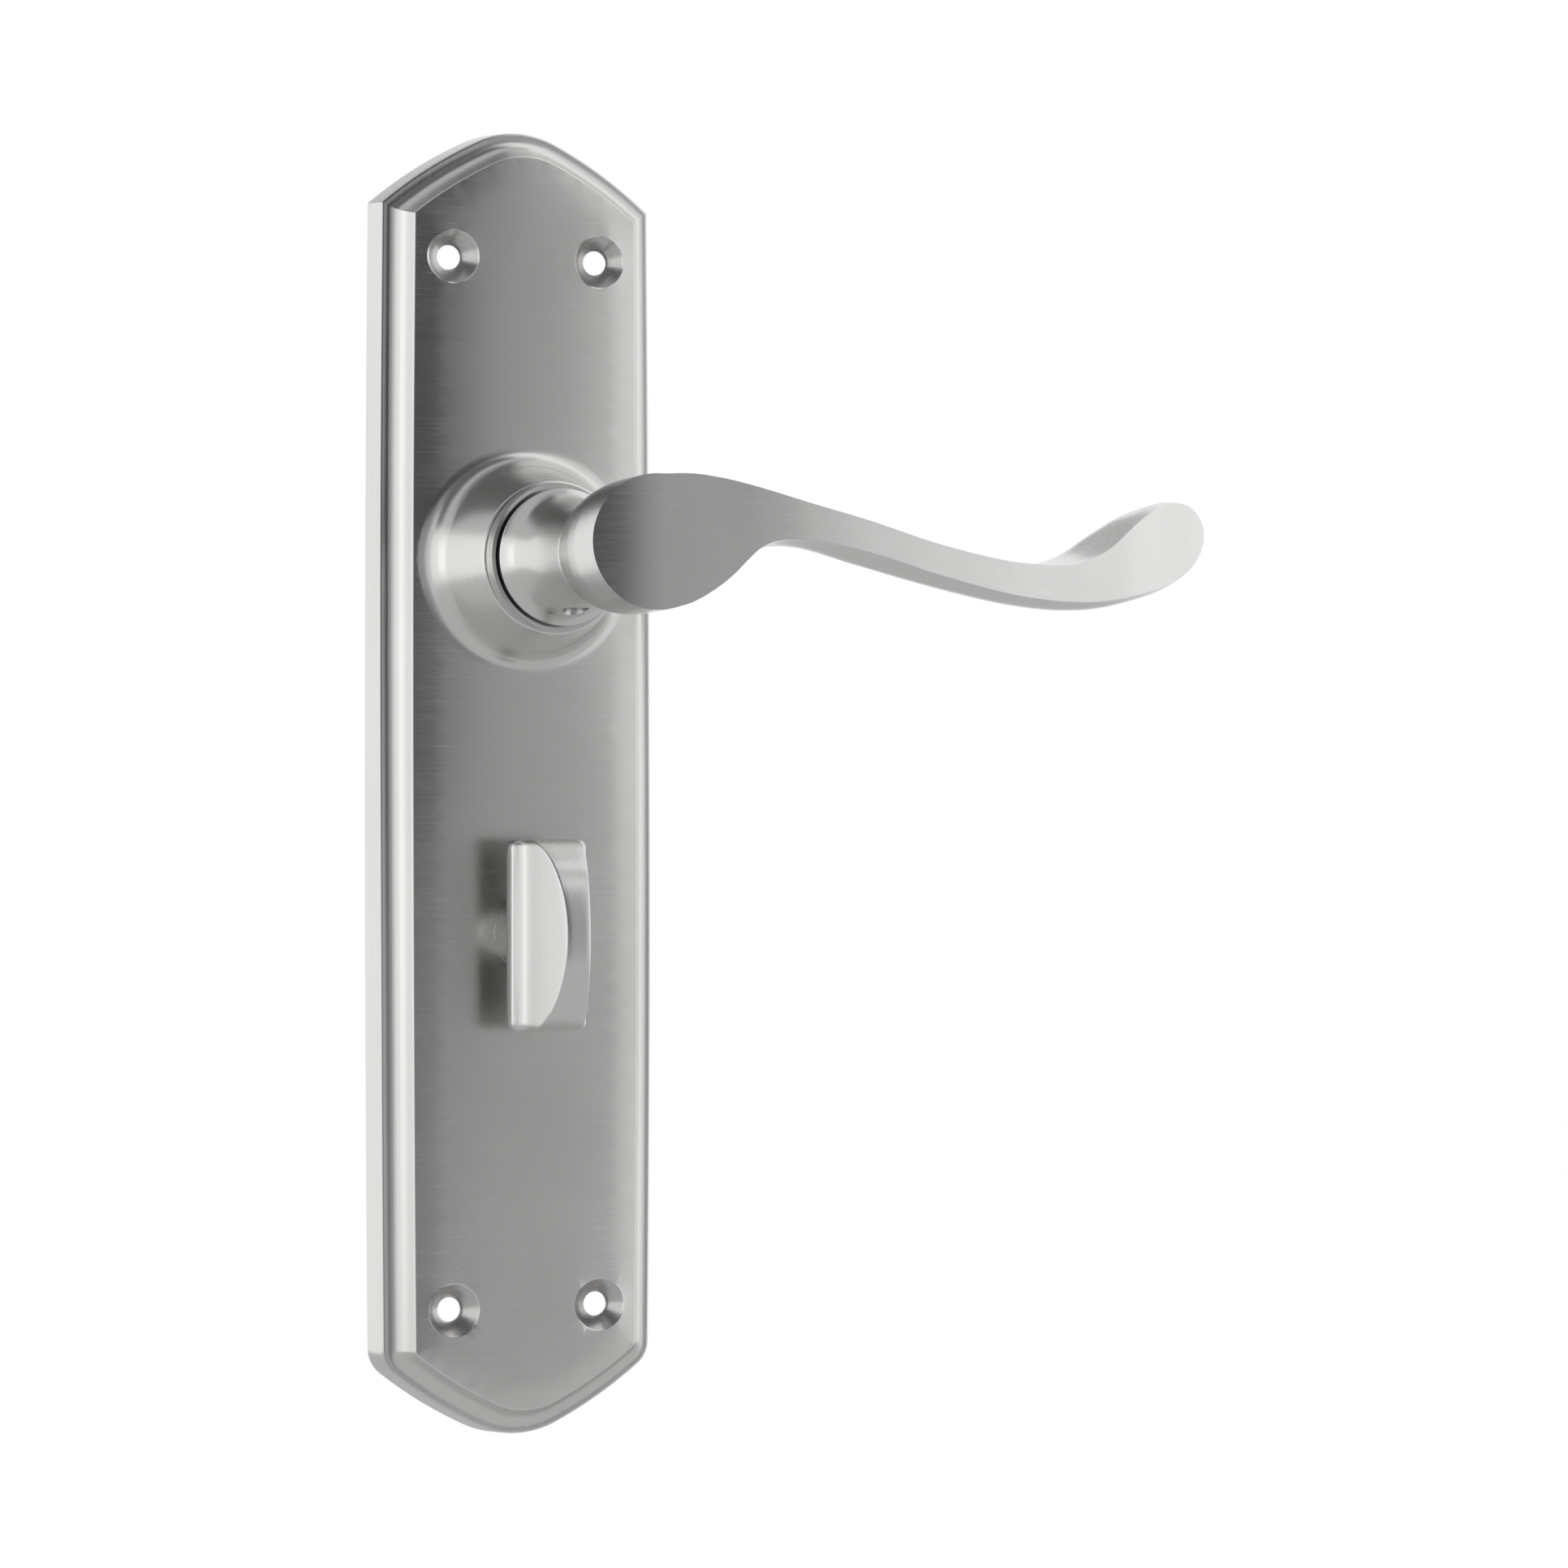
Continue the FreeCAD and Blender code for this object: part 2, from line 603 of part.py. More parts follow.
def make_return_spring():
    """Torsion spring: a coil with one leg back through the cam plate and one forward into the boss."""
    helix = Part.makeHelix(spring_pitch, spring_turns * spring_pitch, spring_mean_radius)
    helix.rotate(FreeCAD.Vector(0, 0, 0), FreeCAD.Vector(0, 0, 1), 90)
    helix.rotate(FreeCAD.Vector(0, 0, 0), FreeCAD.Vector(1, 0, 0), 90)
    helix.translate(vec(0, spring_start, 0))
    coil = list(helix.Edges)
    rear_start = coil[0].valueAt(coil[0].FirstParameter)
    rear_leaving = coil[0].tangentAt(coil[0].FirstParameter) * -1
    front_start = coil[-1].valueAt(coil[-1].LastParameter)
    front_leaving = coil[-1].tangentAt(coil[-1].LastParameter)
    rear_length = spring_start - spring_leg_bend - cam_back - cam_thickness / 4
    chamber_end = inner_face + spring_chamber_depth
    front_length = chamber_end + spring_leg_seat - spring_leg_end_gap - spring_front - spring_leg_bend
    rear_bend, rear_line = bent_leg(rear_start, rear_leaving, FreeCAD.Vector(0, 1, 0), rear_length)
    front_bend, front_line = bent_leg(front_start, front_leaving, FreeCAD.Vector(0, -1, 0), front_length)
    path = Part.Wire(Part.__sortEdges__([rear_line, rear_bend] + coil + [front_bend, front_line]))
    start = rear_line.valueAt(rear_line.LastParameter)
    wire = Part.Wire([Part.makeCircle(spring_wire_radius, start, FreeCAD.Vector(0, 1, 0))])
    return path.makePipeShell([wire], True, False)


def make_circlip(shaft_radius, rim_width, low, high, z=0.0):
    """Open ring with two drilled ears, sprung into the groove of a shaft."""
    inner = shaft_radius + running_gap
    outer = inner + rim_width
    ear_radius = rim_width * 0.62
    ear_spread = math.degrees(1.5 * ear_radius / outer)
    clip = washer(inner, outer, low, high, 0.0, z)
    for sign in (-1, 1):
        x, ear_z = polar(outer - 0.1, -90.0 + sign * ear_spread, z)
        clip = clip.fuse(disc(ear_radius, low, high, x, ear_z))
    clip = clip.cut(disc(inner, low - 1, high + 1, 0.0, z))
    clip = clip.cut(block(2 * ear_radius * 0.6, outer, low - 1, high + 1, 0.0, z - inner - outer / 2 + 1.0))
    for sign in (-1, 1):
        x, ear_z = polar(outer - 0.1, -90.0 + sign * ear_spread, z)
        clip = clip.cut(disc(ear_radius * 0.4, low - 1, high + 1, x, ear_z))
    return clip


def make_rear_cover():
    cover = block(cover_width, cover_height, cover_back, cover_front)
    upright = [e for e in cover.Edges if abs(e.Vertexes[0].Y - e.Vertexes[1].Y) > cover_thickness / 2]
    cover = cover.makeFillet(cover_corner, upright)
    cover = cover.cut(disc(cover_mouth_radius, cover_back - 1, cover_front + 1))
    for x, z in cover_posts:
        cover = cover.cut(disc(cover_screw_radius + socket_gap, cover_back - 1, cover_front + 1, x, z))
        cover = cover.cut(cone(cover_screw_head_radius + socket_gap, cover_screw_radius + socket_gap,
                               cover_back, cover_back + cover_screw_head, x, z))
    return cover


def make_cover_screws():
    """Two countersunk screws with a cross slot, driven from behind."""
    screws = []
    for x, z in cover_posts:
        screw = cone(cover_screw_head_radius, cover_screw_radius - seat_gap, cover_back,
                     cover_back + cover_screw_head, x, z)
        shank_end = cover_front + cover_screw_length - screw_end_gap
        screw = screw.fuse(disc(cover_screw_radius - seat_gap, cover_back + cover_screw_head, shank_end, x, z))
        slot_length = cover_screw_head_radius * 1.2
        slot_end = cover_back + cross_slot_depth
        screw = screw.cut(block(slot_length, cross_slot_width, cover_back - 1, slot_end, x, z))
        screw = screw.cut(block(cross_slot_width, slot_length, cover_back - 1, slot_end, x, z))
        screws.append(screw)
    return Part.makeCompound(screws)


# ---------------------------------------------------------------- thumb-turn
def make_turn_knob():
    """Cast turn: a finned grip whose hollow cheeks rise from a slab to a curved ridge, on a round stem."""
    stem_front = plate_depth + turn_stem_length
    slab_front = stem_front + turn_slab
    ridge = stem_front + turn_ridge_height
    end = stem_front + turn_end_height
    half = turn_grip_length / 2
    side = turn_grip_width / 2
    points = [vec(-side, stem_front, turn_z - half), vec(-side, end, turn_z - half),
              vec(-side, end, turn_z + half), vec(-side, stem_front, turn_z + half)]
    arch = Part.Ellipse(points[2], vec(-side, ridge, turn_z), vec(-side, end, turn_z))
    crest = Part.ArcOfEllipse(arch, 0.0, math.pi).toShape()
    outline = Part.Wire([Part.makeLine(points[0], points[1]), crest, Part.makeLine(points[2], points[3]),
                         Part.makeLine(points[3], points[0])])
    grip = Part.Face(outline).extrude(FreeCAD.Vector(turn_grip_width, 0, 0))
    for sign in (-1, 1):
        low = turn_z - half - 1
        a = vec(sign * side, slab_front, low)
        b = vec(sign * turn_end_half, end, low)
        c = vec(sign * turn_ridge_half, ridge, low)
        d = vec(sign * turn_ridge_half, ridge + 2, low)
        e = vec(sign * (side + 2), ridge + 2, low)
        f = vec(sign * (side + 2), slab_front, low)
        hollow = Part.Wire([Part.Arc(a, b, c).toShape(), Part.makeLine(c, d), Part.makeLine(d, e),
                            Part.makeLine(e, f), Part.makeLine(f, a)])
        grip = grip.cut(Part.Face(hollow).extrude(FreeCAD.Vector(0, 0, turn_grip_length + 2)))
    knob = grip.fuse(disc(turn_stem_radius, plate_depth + face_gap, stem_front + 0.5, 0.0, turn_z))
    knob = knob.fuse(disc(turn_journal_radius, turn_journal_end, plate_depth + 1, 0.0, turn_z))
    groove = washer(turn_journal_radius - turn_groove_depth, turn_journal_radius + 1,
                    turn_circlip_back, turn_circlip_front, 0.0, turn_z)
    knob = knob.cut(groove)
    for sign in (-1, 1):
        knob = knob.cut(block(2.0, 4 * turn_journal_radius, turn_journal_end - 1, turn_bush_back,
                              sign * (turn_flat + 1.0), turn_z))
    socket = turn_spindle_side + 2 * seat_gap
    return knob.cut(block(socket, socket, 0.0, turn_spindle_grip + turn_socket_end_gap, 0.0, turn_z))


def make_turn_bush():
    bush = disc(turn_bush_outer, turn_hub_back, plate_depth, 0.0, turn_z)
    bush = bush.fuse(disc(turn_bush_flange, turn_bush_back, turn_hub_back, 0.0, turn_z))
    return bush.cut(disc(turn_journal_radius + running_gap, 0.0, plate_depth + 1, 0.0, turn_z))


def make_turn_cam():
    cam = disc(turn_cam_radius, turn_cam_back, turn_cam_front, 0.0, turn_z)
    cam = cam.fuse(arm_sector(turn_cam_arm, turn_cam_back, turn_cam_front, turn_arm_rest,
                              turn_cam_arm_half_deg, turn_z))
    return cam.cut(keyed_hole(turn_journal_radius + running_gap, turn_flat + running_gap,
                              turn_cam_back - 1, turn_cam_front + 1, turn_z))


PIECES = {
    "backplate": make_backplate,
    "lever_bush": make_lever_bush,
    "split_guide_ring": make_guide_ring,
    "lever_stop_pins": lambda: make_stop_pins(lever_stop_points, stop_pin_radius, cam_back - pin_end_gap),
    "return_spring": make_return_spring,
    "rear_cover": make_rear_cover,
    "cover_screws": make_cover_screws,
    "turn_bush": make_turn_bush,
    "turn_stop_pins": lambda: make_stop_pins(turn_stop_points, turn_stop_radius, turn_cam_back - pin_end_gap),
    "lever_handle": make_lever_handle,
    "lever_grub_screw": make_grub_screw,
    "lever_spindle": lambda: make_square_bar(spindle_side, spindle_reach, spindle_grip),
    "spring_keeper": make_spring_keeper,
    "lever_cam_plate": make_cam_plate,
    "lever_circlip": lambda: make_circlip(spigot_radius - circlip_groove_depth, circlip_rim,
                                          circlip_back, circlip_front),
    "turn_knob": make_turn_knob,
    "turn_spindle": lambda: make_square_bar(turn_spindle_side, turn_spindle_reach, turn_spindle_grip, turn_z),
    "turn_cam": make_turn_cam,
    "turn_dish_washer": lambda: washer(turn_journal_radius + running_gap, turn_dish_radius,
                                       turn_dish_back, turn_dish_front, 0.0, turn_z),
    "turn_circlip": lambda: make_circlip(turn_journal_radius - turn_groove_depth, turn_circlip_rim,
                                         turn_circlip_back, turn_circlip_front, turn_z),
}

os.makedirs("parts", exist_ok=True)
for name, make in PIECES.items():
    shape = make()
    save(name, shape)
    box = shape.BoundBox
    print(name, len(shape.Solids), shape.isValid(), round(shape.Volume, 1),
          [round(v, 2) for v in (box.XMin, box.XMax, box.YMin, box.YMax, box.ZMin, box.ZMax)])
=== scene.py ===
# %% [markdown]
# # Door lever on a long backplate
# The object is a satin nickel door handle: a long moulded plate, a curved lever on a round boss, and
# a small thumb-turn below it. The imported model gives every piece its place, and this script gives the
# pieces their final surfaces, finishes and light. The first cell loads that model as a fixed frame.

import math

import bpy
import bmesh
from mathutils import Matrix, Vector, geometry


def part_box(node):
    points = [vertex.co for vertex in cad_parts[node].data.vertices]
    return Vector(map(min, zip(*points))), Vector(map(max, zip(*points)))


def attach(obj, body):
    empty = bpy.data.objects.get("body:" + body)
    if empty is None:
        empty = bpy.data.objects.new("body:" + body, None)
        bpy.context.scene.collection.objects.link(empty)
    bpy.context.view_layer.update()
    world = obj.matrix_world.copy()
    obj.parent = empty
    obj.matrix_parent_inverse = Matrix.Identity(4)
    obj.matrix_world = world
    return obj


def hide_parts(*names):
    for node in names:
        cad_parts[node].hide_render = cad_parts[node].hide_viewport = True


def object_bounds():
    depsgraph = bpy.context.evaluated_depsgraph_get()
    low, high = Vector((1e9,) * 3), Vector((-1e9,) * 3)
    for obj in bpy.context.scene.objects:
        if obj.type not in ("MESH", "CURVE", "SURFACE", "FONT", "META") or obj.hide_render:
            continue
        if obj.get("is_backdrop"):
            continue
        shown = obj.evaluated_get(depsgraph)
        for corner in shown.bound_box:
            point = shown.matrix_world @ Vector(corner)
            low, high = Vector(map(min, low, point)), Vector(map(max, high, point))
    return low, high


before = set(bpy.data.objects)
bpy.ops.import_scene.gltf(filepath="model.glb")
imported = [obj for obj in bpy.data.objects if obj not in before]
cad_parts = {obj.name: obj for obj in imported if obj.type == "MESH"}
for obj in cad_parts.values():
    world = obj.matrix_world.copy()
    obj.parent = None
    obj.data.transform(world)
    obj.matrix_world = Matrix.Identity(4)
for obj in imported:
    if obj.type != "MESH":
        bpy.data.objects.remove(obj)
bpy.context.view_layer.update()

# %% [markdown]
# ## Camera
# The handle is seen from its left, level with the middle of the plate, through a long lens that keeps
# the sides of the plate almost parallel. A camera in Blender looks along its own -Z axis, so turning
# it 90 degrees about X makes it look along +Y, and the turn about Z swings it to the side.

# %% Camera
camera_data = bpy.data.cameras.new("long_lens")
camera_data.lens = 130.4
camera_data.sensor_width = 36.0
camera = bpy.data.objects.new("camera", camera_data)
camera.location = (-0.3238, -0.8148, -0.0341)
camera.rotation_euler = (math.radians(90), 0.0, math.radians(-24.5))
bpy.context.scene.collection.objects.link(camera)
bpy.context.scene.camera = camera
bpy.context.scene.view_settings.view_transform = "Standard"
print("camera at", tuple(camera.location))

# %% [markdown]
# ## Studio: white room, grey flags, two soft lamps
# Metal has no colour of its own to speak of: it shows the room. The room here is plain white, made by
# the world, and a pale floor lies below. Photographers hold dark cards, called flags, beside the
# camera so that polished metal has something to reflect besides white, and the same is done here. A
# flag is hidden from the camera and casts no shadow, so only reflections know about it.

# %% White world
scene = bpy.context.scene
world = bpy.data.worlds.new("white_room")
scene.world = world
world.use_nodes = True
background = world.node_tree.nodes["Background"]
background.inputs["Color"].default_value = (1.0, 1.0, 1.0, 1.0)
background.inputs["Strength"].default_value = 1.0

# %% Stage helpers
STAGE_MM = 0.001


def flat_card(name, corners, material):
    """A flat card given by its corner points in millimetres."""
    mesh = bpy.data.meshes.new(name)
    mesh.from_pydata([Vector(c) * STAGE_MM for c in corners], [], [list(range(len(corners)))])
    mesh.materials.append(material)
    card = bpy.data.objects.new(name, mesh)
    scene.collection.objects.link(card)
    card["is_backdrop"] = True
    return card


def plain_material(name, colour, roughness):
    material = bpy.data.materials.new(name)
    material.use_nodes = True
    shader = material.node_tree.nodes["Principled BSDF"]
    shader.inputs["Base Color"].default_value = (*colour, 1.0)
    shader.inputs["Roughness"].default_value = roughness
    shader.inputs["Specular IOR Level"].default_value = 0.0
    return material


# %% [markdown]
# The floor is pale and dull, and lies well below the handle, as a table lies below something held up
# on a thin stand. It keeps the soft shadow of the handle. It is a round disc, so that seen from the
# side of the door its edge stays out of view and only the white room shows behind the handle.

# %% Floor
floor_drop = 330.0
floor_radius = 900.0
floor_sides = 64
floor_material = plain_material("pale_floor", (0.95, 0.95, 0.95), 0.9)
floor_rim = []
for index in range(floor_sides):
    angle = 2 * math.pi * index / floor_sides
    floor_rim.append((floor_radius * math.cos(angle), floor_radius * math.sin(angle), -floor_drop))
floor = flat_card("floor", floor_rim, floor_material)


# %% [markdown]
# An upright flag is placed by the span of directions it covers as seen from the handle: azimuth 0 is
# straight out of the door and grows towards the tip of the lever. The flat face of the plate reflects
# what stands at about 25 degrees. Two more flags lie flat, one above and one below.

# %% Flags
def felt_card(name, corners, grey):
    card = flat_card(name, corners, plain_material(name + "_felt", (grey, grey, grey), 1.0))
    card.visible_camera = False
    card.visible_shadow = False
    card.visible_diffuse = False
    return card


def upright_flag(name, azimuths, heights, distance, grey):
    """A card that covers a span of azimuths in degrees and heights in millimetres."""
    corners = []
    for azimuth, height in ((azimuths[0], heights[0]), (azimuths[1], heights[0]),
                            (azimuths[1], heights[1]), (azimuths[0], heights[1])):
        angle = math.radians(azimuth)
        corners.append((distance * math.sin(angle), -distance * math.cos(angle), height))
    return felt_card(name, corners, grey)


def level_flag(name, across, along, height, grey):
    """A card that lies flat and covers a span of X and a span of Y in millimetres."""
    left, right = across
    near, far = along
    corners = [(left, near, height), (right, near, height), (right, far, height), (left, far, height)]
    return felt_card(name, corners, grey)


upright_flag("grey_flag", (15.0, 31.0), (-700.0, 700.0), 900.0, 0.40)
upright_flag("light_flag", (31.0, 62.0), (-700.0, 700.0), 920.0, 0.78)
upright_flag("dark_flag", (-13.0, 15.5), (-40.0, 700.0), 880.0, 0.05)
upright_flag("left_grey_flag", (-33.0, -13.0), (-700.0, 700.0), 900.0, 0.34)
upright_flag("left_light_flag", (-56.0, -33.0), (-700.0, 700.0), 920.0, 0.68)
upright_flag("low_dark_flag", (-13.0, 15.5), (-700.0, -40.0), 880.0, 0.22)
level_flag("upper_front_flag", (-1100.0, 130.0), (-1100.0, -120.0), 520.0, 0.14)
level_flag("upper_back_flag", (-1100.0, 250.0), (-120.0, 1100.0), 520.0, 0.55)
level_flag("lower_flag", (-1100.0, 1100.0), (-900.0, 900.0), -325.0, 0.52)


# %% [markdown]
# Two large soft lamps give the metal its bright bands. Each is an area lamp turned to face the handle
# with to_track_quat, which turns a chosen axis of the lamp towards a direction.

# %% Soft lamps
def soft_lamp(name, place_mm, size_mm, watts, target_mm=(0.0, 0.0, -34.0)):
    lamp_data = bpy.data.lights.new(name, "AREA")
    lamp_data.shape = "RECTANGLE"
    lamp_data.size = size_mm[0] * STAGE_MM
    lamp_data.size_y = size_mm[1] * STAGE_MM
    lamp_data.energy = watts
    lamp = bpy.data.objects.new(name, lamp_data)
    lamp.location = Vector(place_mm) * STAGE_MM
    away = lamp.location - Vector(target_mm) * STAGE_MM
    lamp.rotation_euler = away.to_track_quat("Z", "Y").to_euler()
    lamp.visible_camera = False
    scene.collection.objects.link(lamp)
    return lamp


left_lamp = soft_lamp("left_softbox", (-1250.0, 250.0, 60.0), (500.0, 600.0), 0.3)
right_lamp = soft_lamp("right_softbox", (1200.0, -900.0, 150.0), (500.0, 800.0), 0.5)
print("lamps:", left_lamp.name, right_lamp.name)

# %% [markdown]
# ## Finishes
# Satin nickel is brushed: thousands of fine parallel scratches blur reflections across their own
# direction and leave them fairly sharp along it. Three things make that here. Noise stretched along
# the brushing gives streaks in tone and roughness, the same noise drives a very small bump, and a
# second, broad noise gives the slow cloudy change a hand-finished casting has.

# %% Node helper
class Nodes:
    """Short calls for adding and joining shader nodes in one material."""

    def __init__(self, name):
        self.material = bpy.data.materials.new(name)
        self.material.use_nodes = True
        self.tree = self.material.node_tree
        self.shader = self.tree.nodes["Principled BSDF"]

    def add(self, kind, inputs=(), **settings):
        node = self.tree.nodes.new(kind)
        for key, value in settings.items():
            setattr(node, key, value)
        for key, value in dict(inputs).items():
            if isinstance(value, bpy.types.NodeSocket):
                self.tree.links.new(value, node.inputs[key])
            else:
                node.inputs[key].default_value = value
        return node

    def object_point(self, scale):
        """Object coordinates stretched by a scale for each axis."""
        coordinates = self.add("ShaderNodeTexCoord")
        mapping = self.add("ShaderNodeMapping", {"Vector": coordinates.outputs["Object"], "Scale": scale})
        return mapping.outputs["Vector"]

    def noise(self, vector, detail=2.0, roughness=0.5, scale=1.0):
        node = self.add("ShaderNodeTexNoise", {"Vector": vector, "Scale": scale, "Detail": detail,
                                               "Roughness": roughness})
        return node.outputs["Fac"]

    def spread(self, value, low, high, clip_low=0.3, clip_high=0.7):
        """Maps a noise value, which stays mostly between 0.3 and 0.7, to low..high."""
        node = self.add("ShaderNodeMapRange", {"Value": value, "From Min": clip_low, "From Max": clip_high,
                                               "To Min": low, "To Max": high})
        return node.outputs["Result"]

    def times(self, a, b):
        return self.add("ShaderNodeMath", {0: a, 1: b}, operation="MULTIPLY").outputs["Value"]

    def plus(self, a, b):
        return self.add("ShaderNodeMath", {0: a, 1: b}, operation="ADD").outputs["Value"]

    def set(self, **values):
        for key, value in values.items():
            socket = self.shader.inputs[key.replace("_", " ")]
            if isinstance(value, bpy.types.NodeSocket):
                self.tree.links.new(value, socket)
            else:
                socket.default_value = value


def tinted(nodes, value, colour):
    """A colour multiplied by a value that varies over the surface."""
    scaled = nodes.add("ShaderNodeVectorMath", {0: colour}, operation="SCALE")
    nodes.tree.links.new(value, scaled.inputs["Scale"])
    return scaled.outputs["Vector"]


# %% [markdown]
# One function makes every brushed metal. It is told how many streaks go to a metre along each axis:
# a small number along the brushing and a large one across it. The streak noise is used four ways, so
# that the bright scratches are also the smoother ones, as on real plate.

# %% Brushed metal
def brushed_metal(name, colour, streaks, roughness, depth=0.0000012, tone=0.035, cloud=0.03, around=None):
    """Streaks per metre along X, Y and Z. With around=(x, z), they run round an axis through that
    point: the three numbers are then round the axis, along Y, and outwards from the axis."""
    nodes = Nodes(name)
    point = nodes.object_point((1.0, 1.0, 1.0))
    if around:
        point = turned_point(nodes, point, around)
    fine = nodes.noise(stretched(nodes, point, streaks), detail=3.0, roughness=0.65)
    coarse = nodes.noise(stretched(nodes, point, [s * 0.31 for s in streaks]), detail=2.0)
    broad = nodes.noise(nodes.object_point((38.0, 38.0, 30.0)), detail=2.0)
    both = nodes.plus(nodes.times(fine, 0.65), nodes.times(coarse, 0.35))
    tone_value = nodes.plus(nodes.spread(both, 1.0 - tone, 1.0 + tone),
                            nodes.spread(broad, -cloud, cloud))
    bump = nodes.add("ShaderNodeBump", {"Height": both, "Strength": 0.5, "Distance": depth})
    nodes.set(Base_Color=tinted(nodes, tone_value, colour), Metallic=1.0,
              Roughness=nodes.plus(nodes.spread(both, roughness - 0.03, roughness + 0.03),
                                   nodes.spread(broad, -0.02, 0.02)),
              Normal=bump.outputs["Normal"])
    return nodes.material


def stretched(nodes, point, scale):
    return nodes.add("ShaderNodeVectorMath", {0: point, 1: scale}, operation="MULTIPLY").outputs["Vector"]


def turned_point(nodes, point, around):
    """Coordinates round an axis that runs along Y: arc length at 10 mm, depth, and radius."""
    parts = nodes.add("ShaderNodeSeparateXYZ", {"Vector": point})
    x = nodes.plus(parts.outputs["X"], -around[0])
    z = nodes.plus(parts.outputs["Z"], -around[1])
    flat = nodes.add("ShaderNodeCombineXYZ", {"X": x, "Z": z}).outputs["Vector"]
    radius = nodes.add("ShaderNodeVectorMath", {0: flat}, operation="LENGTH").outputs["Value"]
    angle = nodes.add("ShaderNodeMath", {0: z, 1: x}, operation="ARCTAN2").outputs["Value"]
    return nodes.add("ShaderNodeCombineXYZ", {"X": nodes.times(angle, 0.01), "Y": parts.outputs["Y"],
                                              "Z": radius}).outputs["Vector"]


def use(material, *names):
    """Puts a finish on CAD nodes through their material slots."""
    for name in names:
        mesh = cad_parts[name].data
        mesh.materials.clear()
        mesh.materials.append(material)


nickel = (0.74, 0.735, 0.725)
plate_nickel = brushed_metal("brushed_across", nickel, (120.0, 900.0, 9000.0), 0.25)
moulding_nickel = brushed_metal("brushed_along", nickel, (5200.0, 5200.0, 90.0), 0.24)
boss_nickel = brushed_metal("brushed_round", nickel, (160.0, 7000.0, 7000.0), 0.25, around=(0.0, 0.0))
# The countersinks get a darker nickel, 0.62 against 0.74: painted shade in the recesses. Their drilled rings come
# from the streaks and the deeper bump.
sink_nickel_painted_shade = brushed_metal("drilled_rings_painted_shade", (0.62, 0.61, 0.60), (120.0, 2500.0, 5500.0), 0.26,
                            depth=0.000006, tone=0.12, around=(0.0, 0.0))
lever_nickel = brushed_metal("linished_lever", nickel, (160.0, 2400.0, 7000.0), 0.25)
turn_nickel = brushed_metal("linished_turn", nickel, (7000.0, 1500.0, 110.0), 0.28)
ring_nickel = brushed_metal("turned_ring", (0.78, 0.775, 0.765), (160.0, 7000.0, 7000.0), 0.22,
                            around=(0.0, 0.0))
use(ring_nickel, "split_guide_ring")

# %% [markdown]
# The pieces behind the plate are plain engineering finishes: bright zinc on pressed steel, oiled
# spring steel, drawn bar, black oxide, and natural nylon. They use the same streak function with
# other colours, and the nylon is the one that lets a little light in below its surface.

# %% Hidden pieces
zinc = brushed_metal("zinc_steel", (0.62, 0.64, 0.67), (700.0, 700.0, 700.0), 0.34, tone=0.08, cloud=0.10)
spring_metal = brushed_metal("spring_steel", (0.34, 0.34, 0.37), (1500.0, 1500.0, 1500.0), 0.32, tone=0.1)
pin_metal = brushed_metal("pin_steel", (0.50, 0.50, 0.52), (400.0, 5000.0, 400.0), 0.25, tone=0.06)
bar_metal = brushed_metal("spindle_steel", (0.50, 0.50, 0.51), (3000.0, 60.0, 3000.0), 0.36, tone=0.1)
use(zinc, "rear_cover", "cover_screws", "spring_keeper", "lever_cam_plate", "turn_cam")
use(spring_metal, "return_spring", "lever_circlip", "turn_dish_washer", "turn_circlip")
use(pin_metal, "lever_stop_pins", "turn_stop_pins")
use(bar_metal, "lever_spindle", "turn_spindle")

# %% Black oxide and nylon
oxide = Nodes("black_steel")
oxide_grain = oxide.noise(oxide.object_point((1800.0, 1800.0, 1800.0)), detail=3.0)
oxide_bump = oxide.add("ShaderNodeBump", {"Height": oxide_grain, "Strength": 0.4, "Distance": 0.00001})
oxide.set(Base_Color=tinted(oxide, oxide.spread(oxide_grain, 0.7, 1.3), (0.05, 0.05, 0.055)),
          Metallic=0.6, Roughness=oxide.spread(oxide_grain, 0.38, 0.52), Normal=oxide_bump.outputs["Normal"])
use(oxide.material, "lever_grub_screw")

nylon = Nodes("bush_nylon")
nylon_grain = nylon.noise(nylon.object_point((900.0, 900.0, 900.0)), detail=4.0)
nylon_bump = nylon.add("ShaderNodeBump", {"Height": nylon_grain, "Strength": 0.3, "Distance": 0.00003})
nylon.set(Base_Color=tinted(nylon, nylon.spread(nylon_grain, 0.95, 1.03), (0.82, 0.80, 0.74)),
          Roughness=nylon.spread(nylon_grain, 0.38, 0.5), Normal=nylon_bump.outputs["Normal"])
nylon.shader.inputs["Subsurface Weight"].default_value = 0.15
nylon.shader.inputs["Subsurface Scale"].default_value = 0.002
use(nylon.material, "lever_bush", "turn_bush")
print("finishes:", len(bpy.data.materials))

# %% [markdown]
# ## Mesh tools
# The cast pieces are built from loops of points: a loop is a closed row of points, two loops with the
# same count are joined by a belt of four-sided faces, and a flat area between loops is filled with
# triangles by Blender's own Delaunay function, with extra points inside so that it can bulge gently.
# Points are written as (x, depth, z) in millimetres, where depth is the distance out from the door.

# %% Points and loops
MM = 0.001


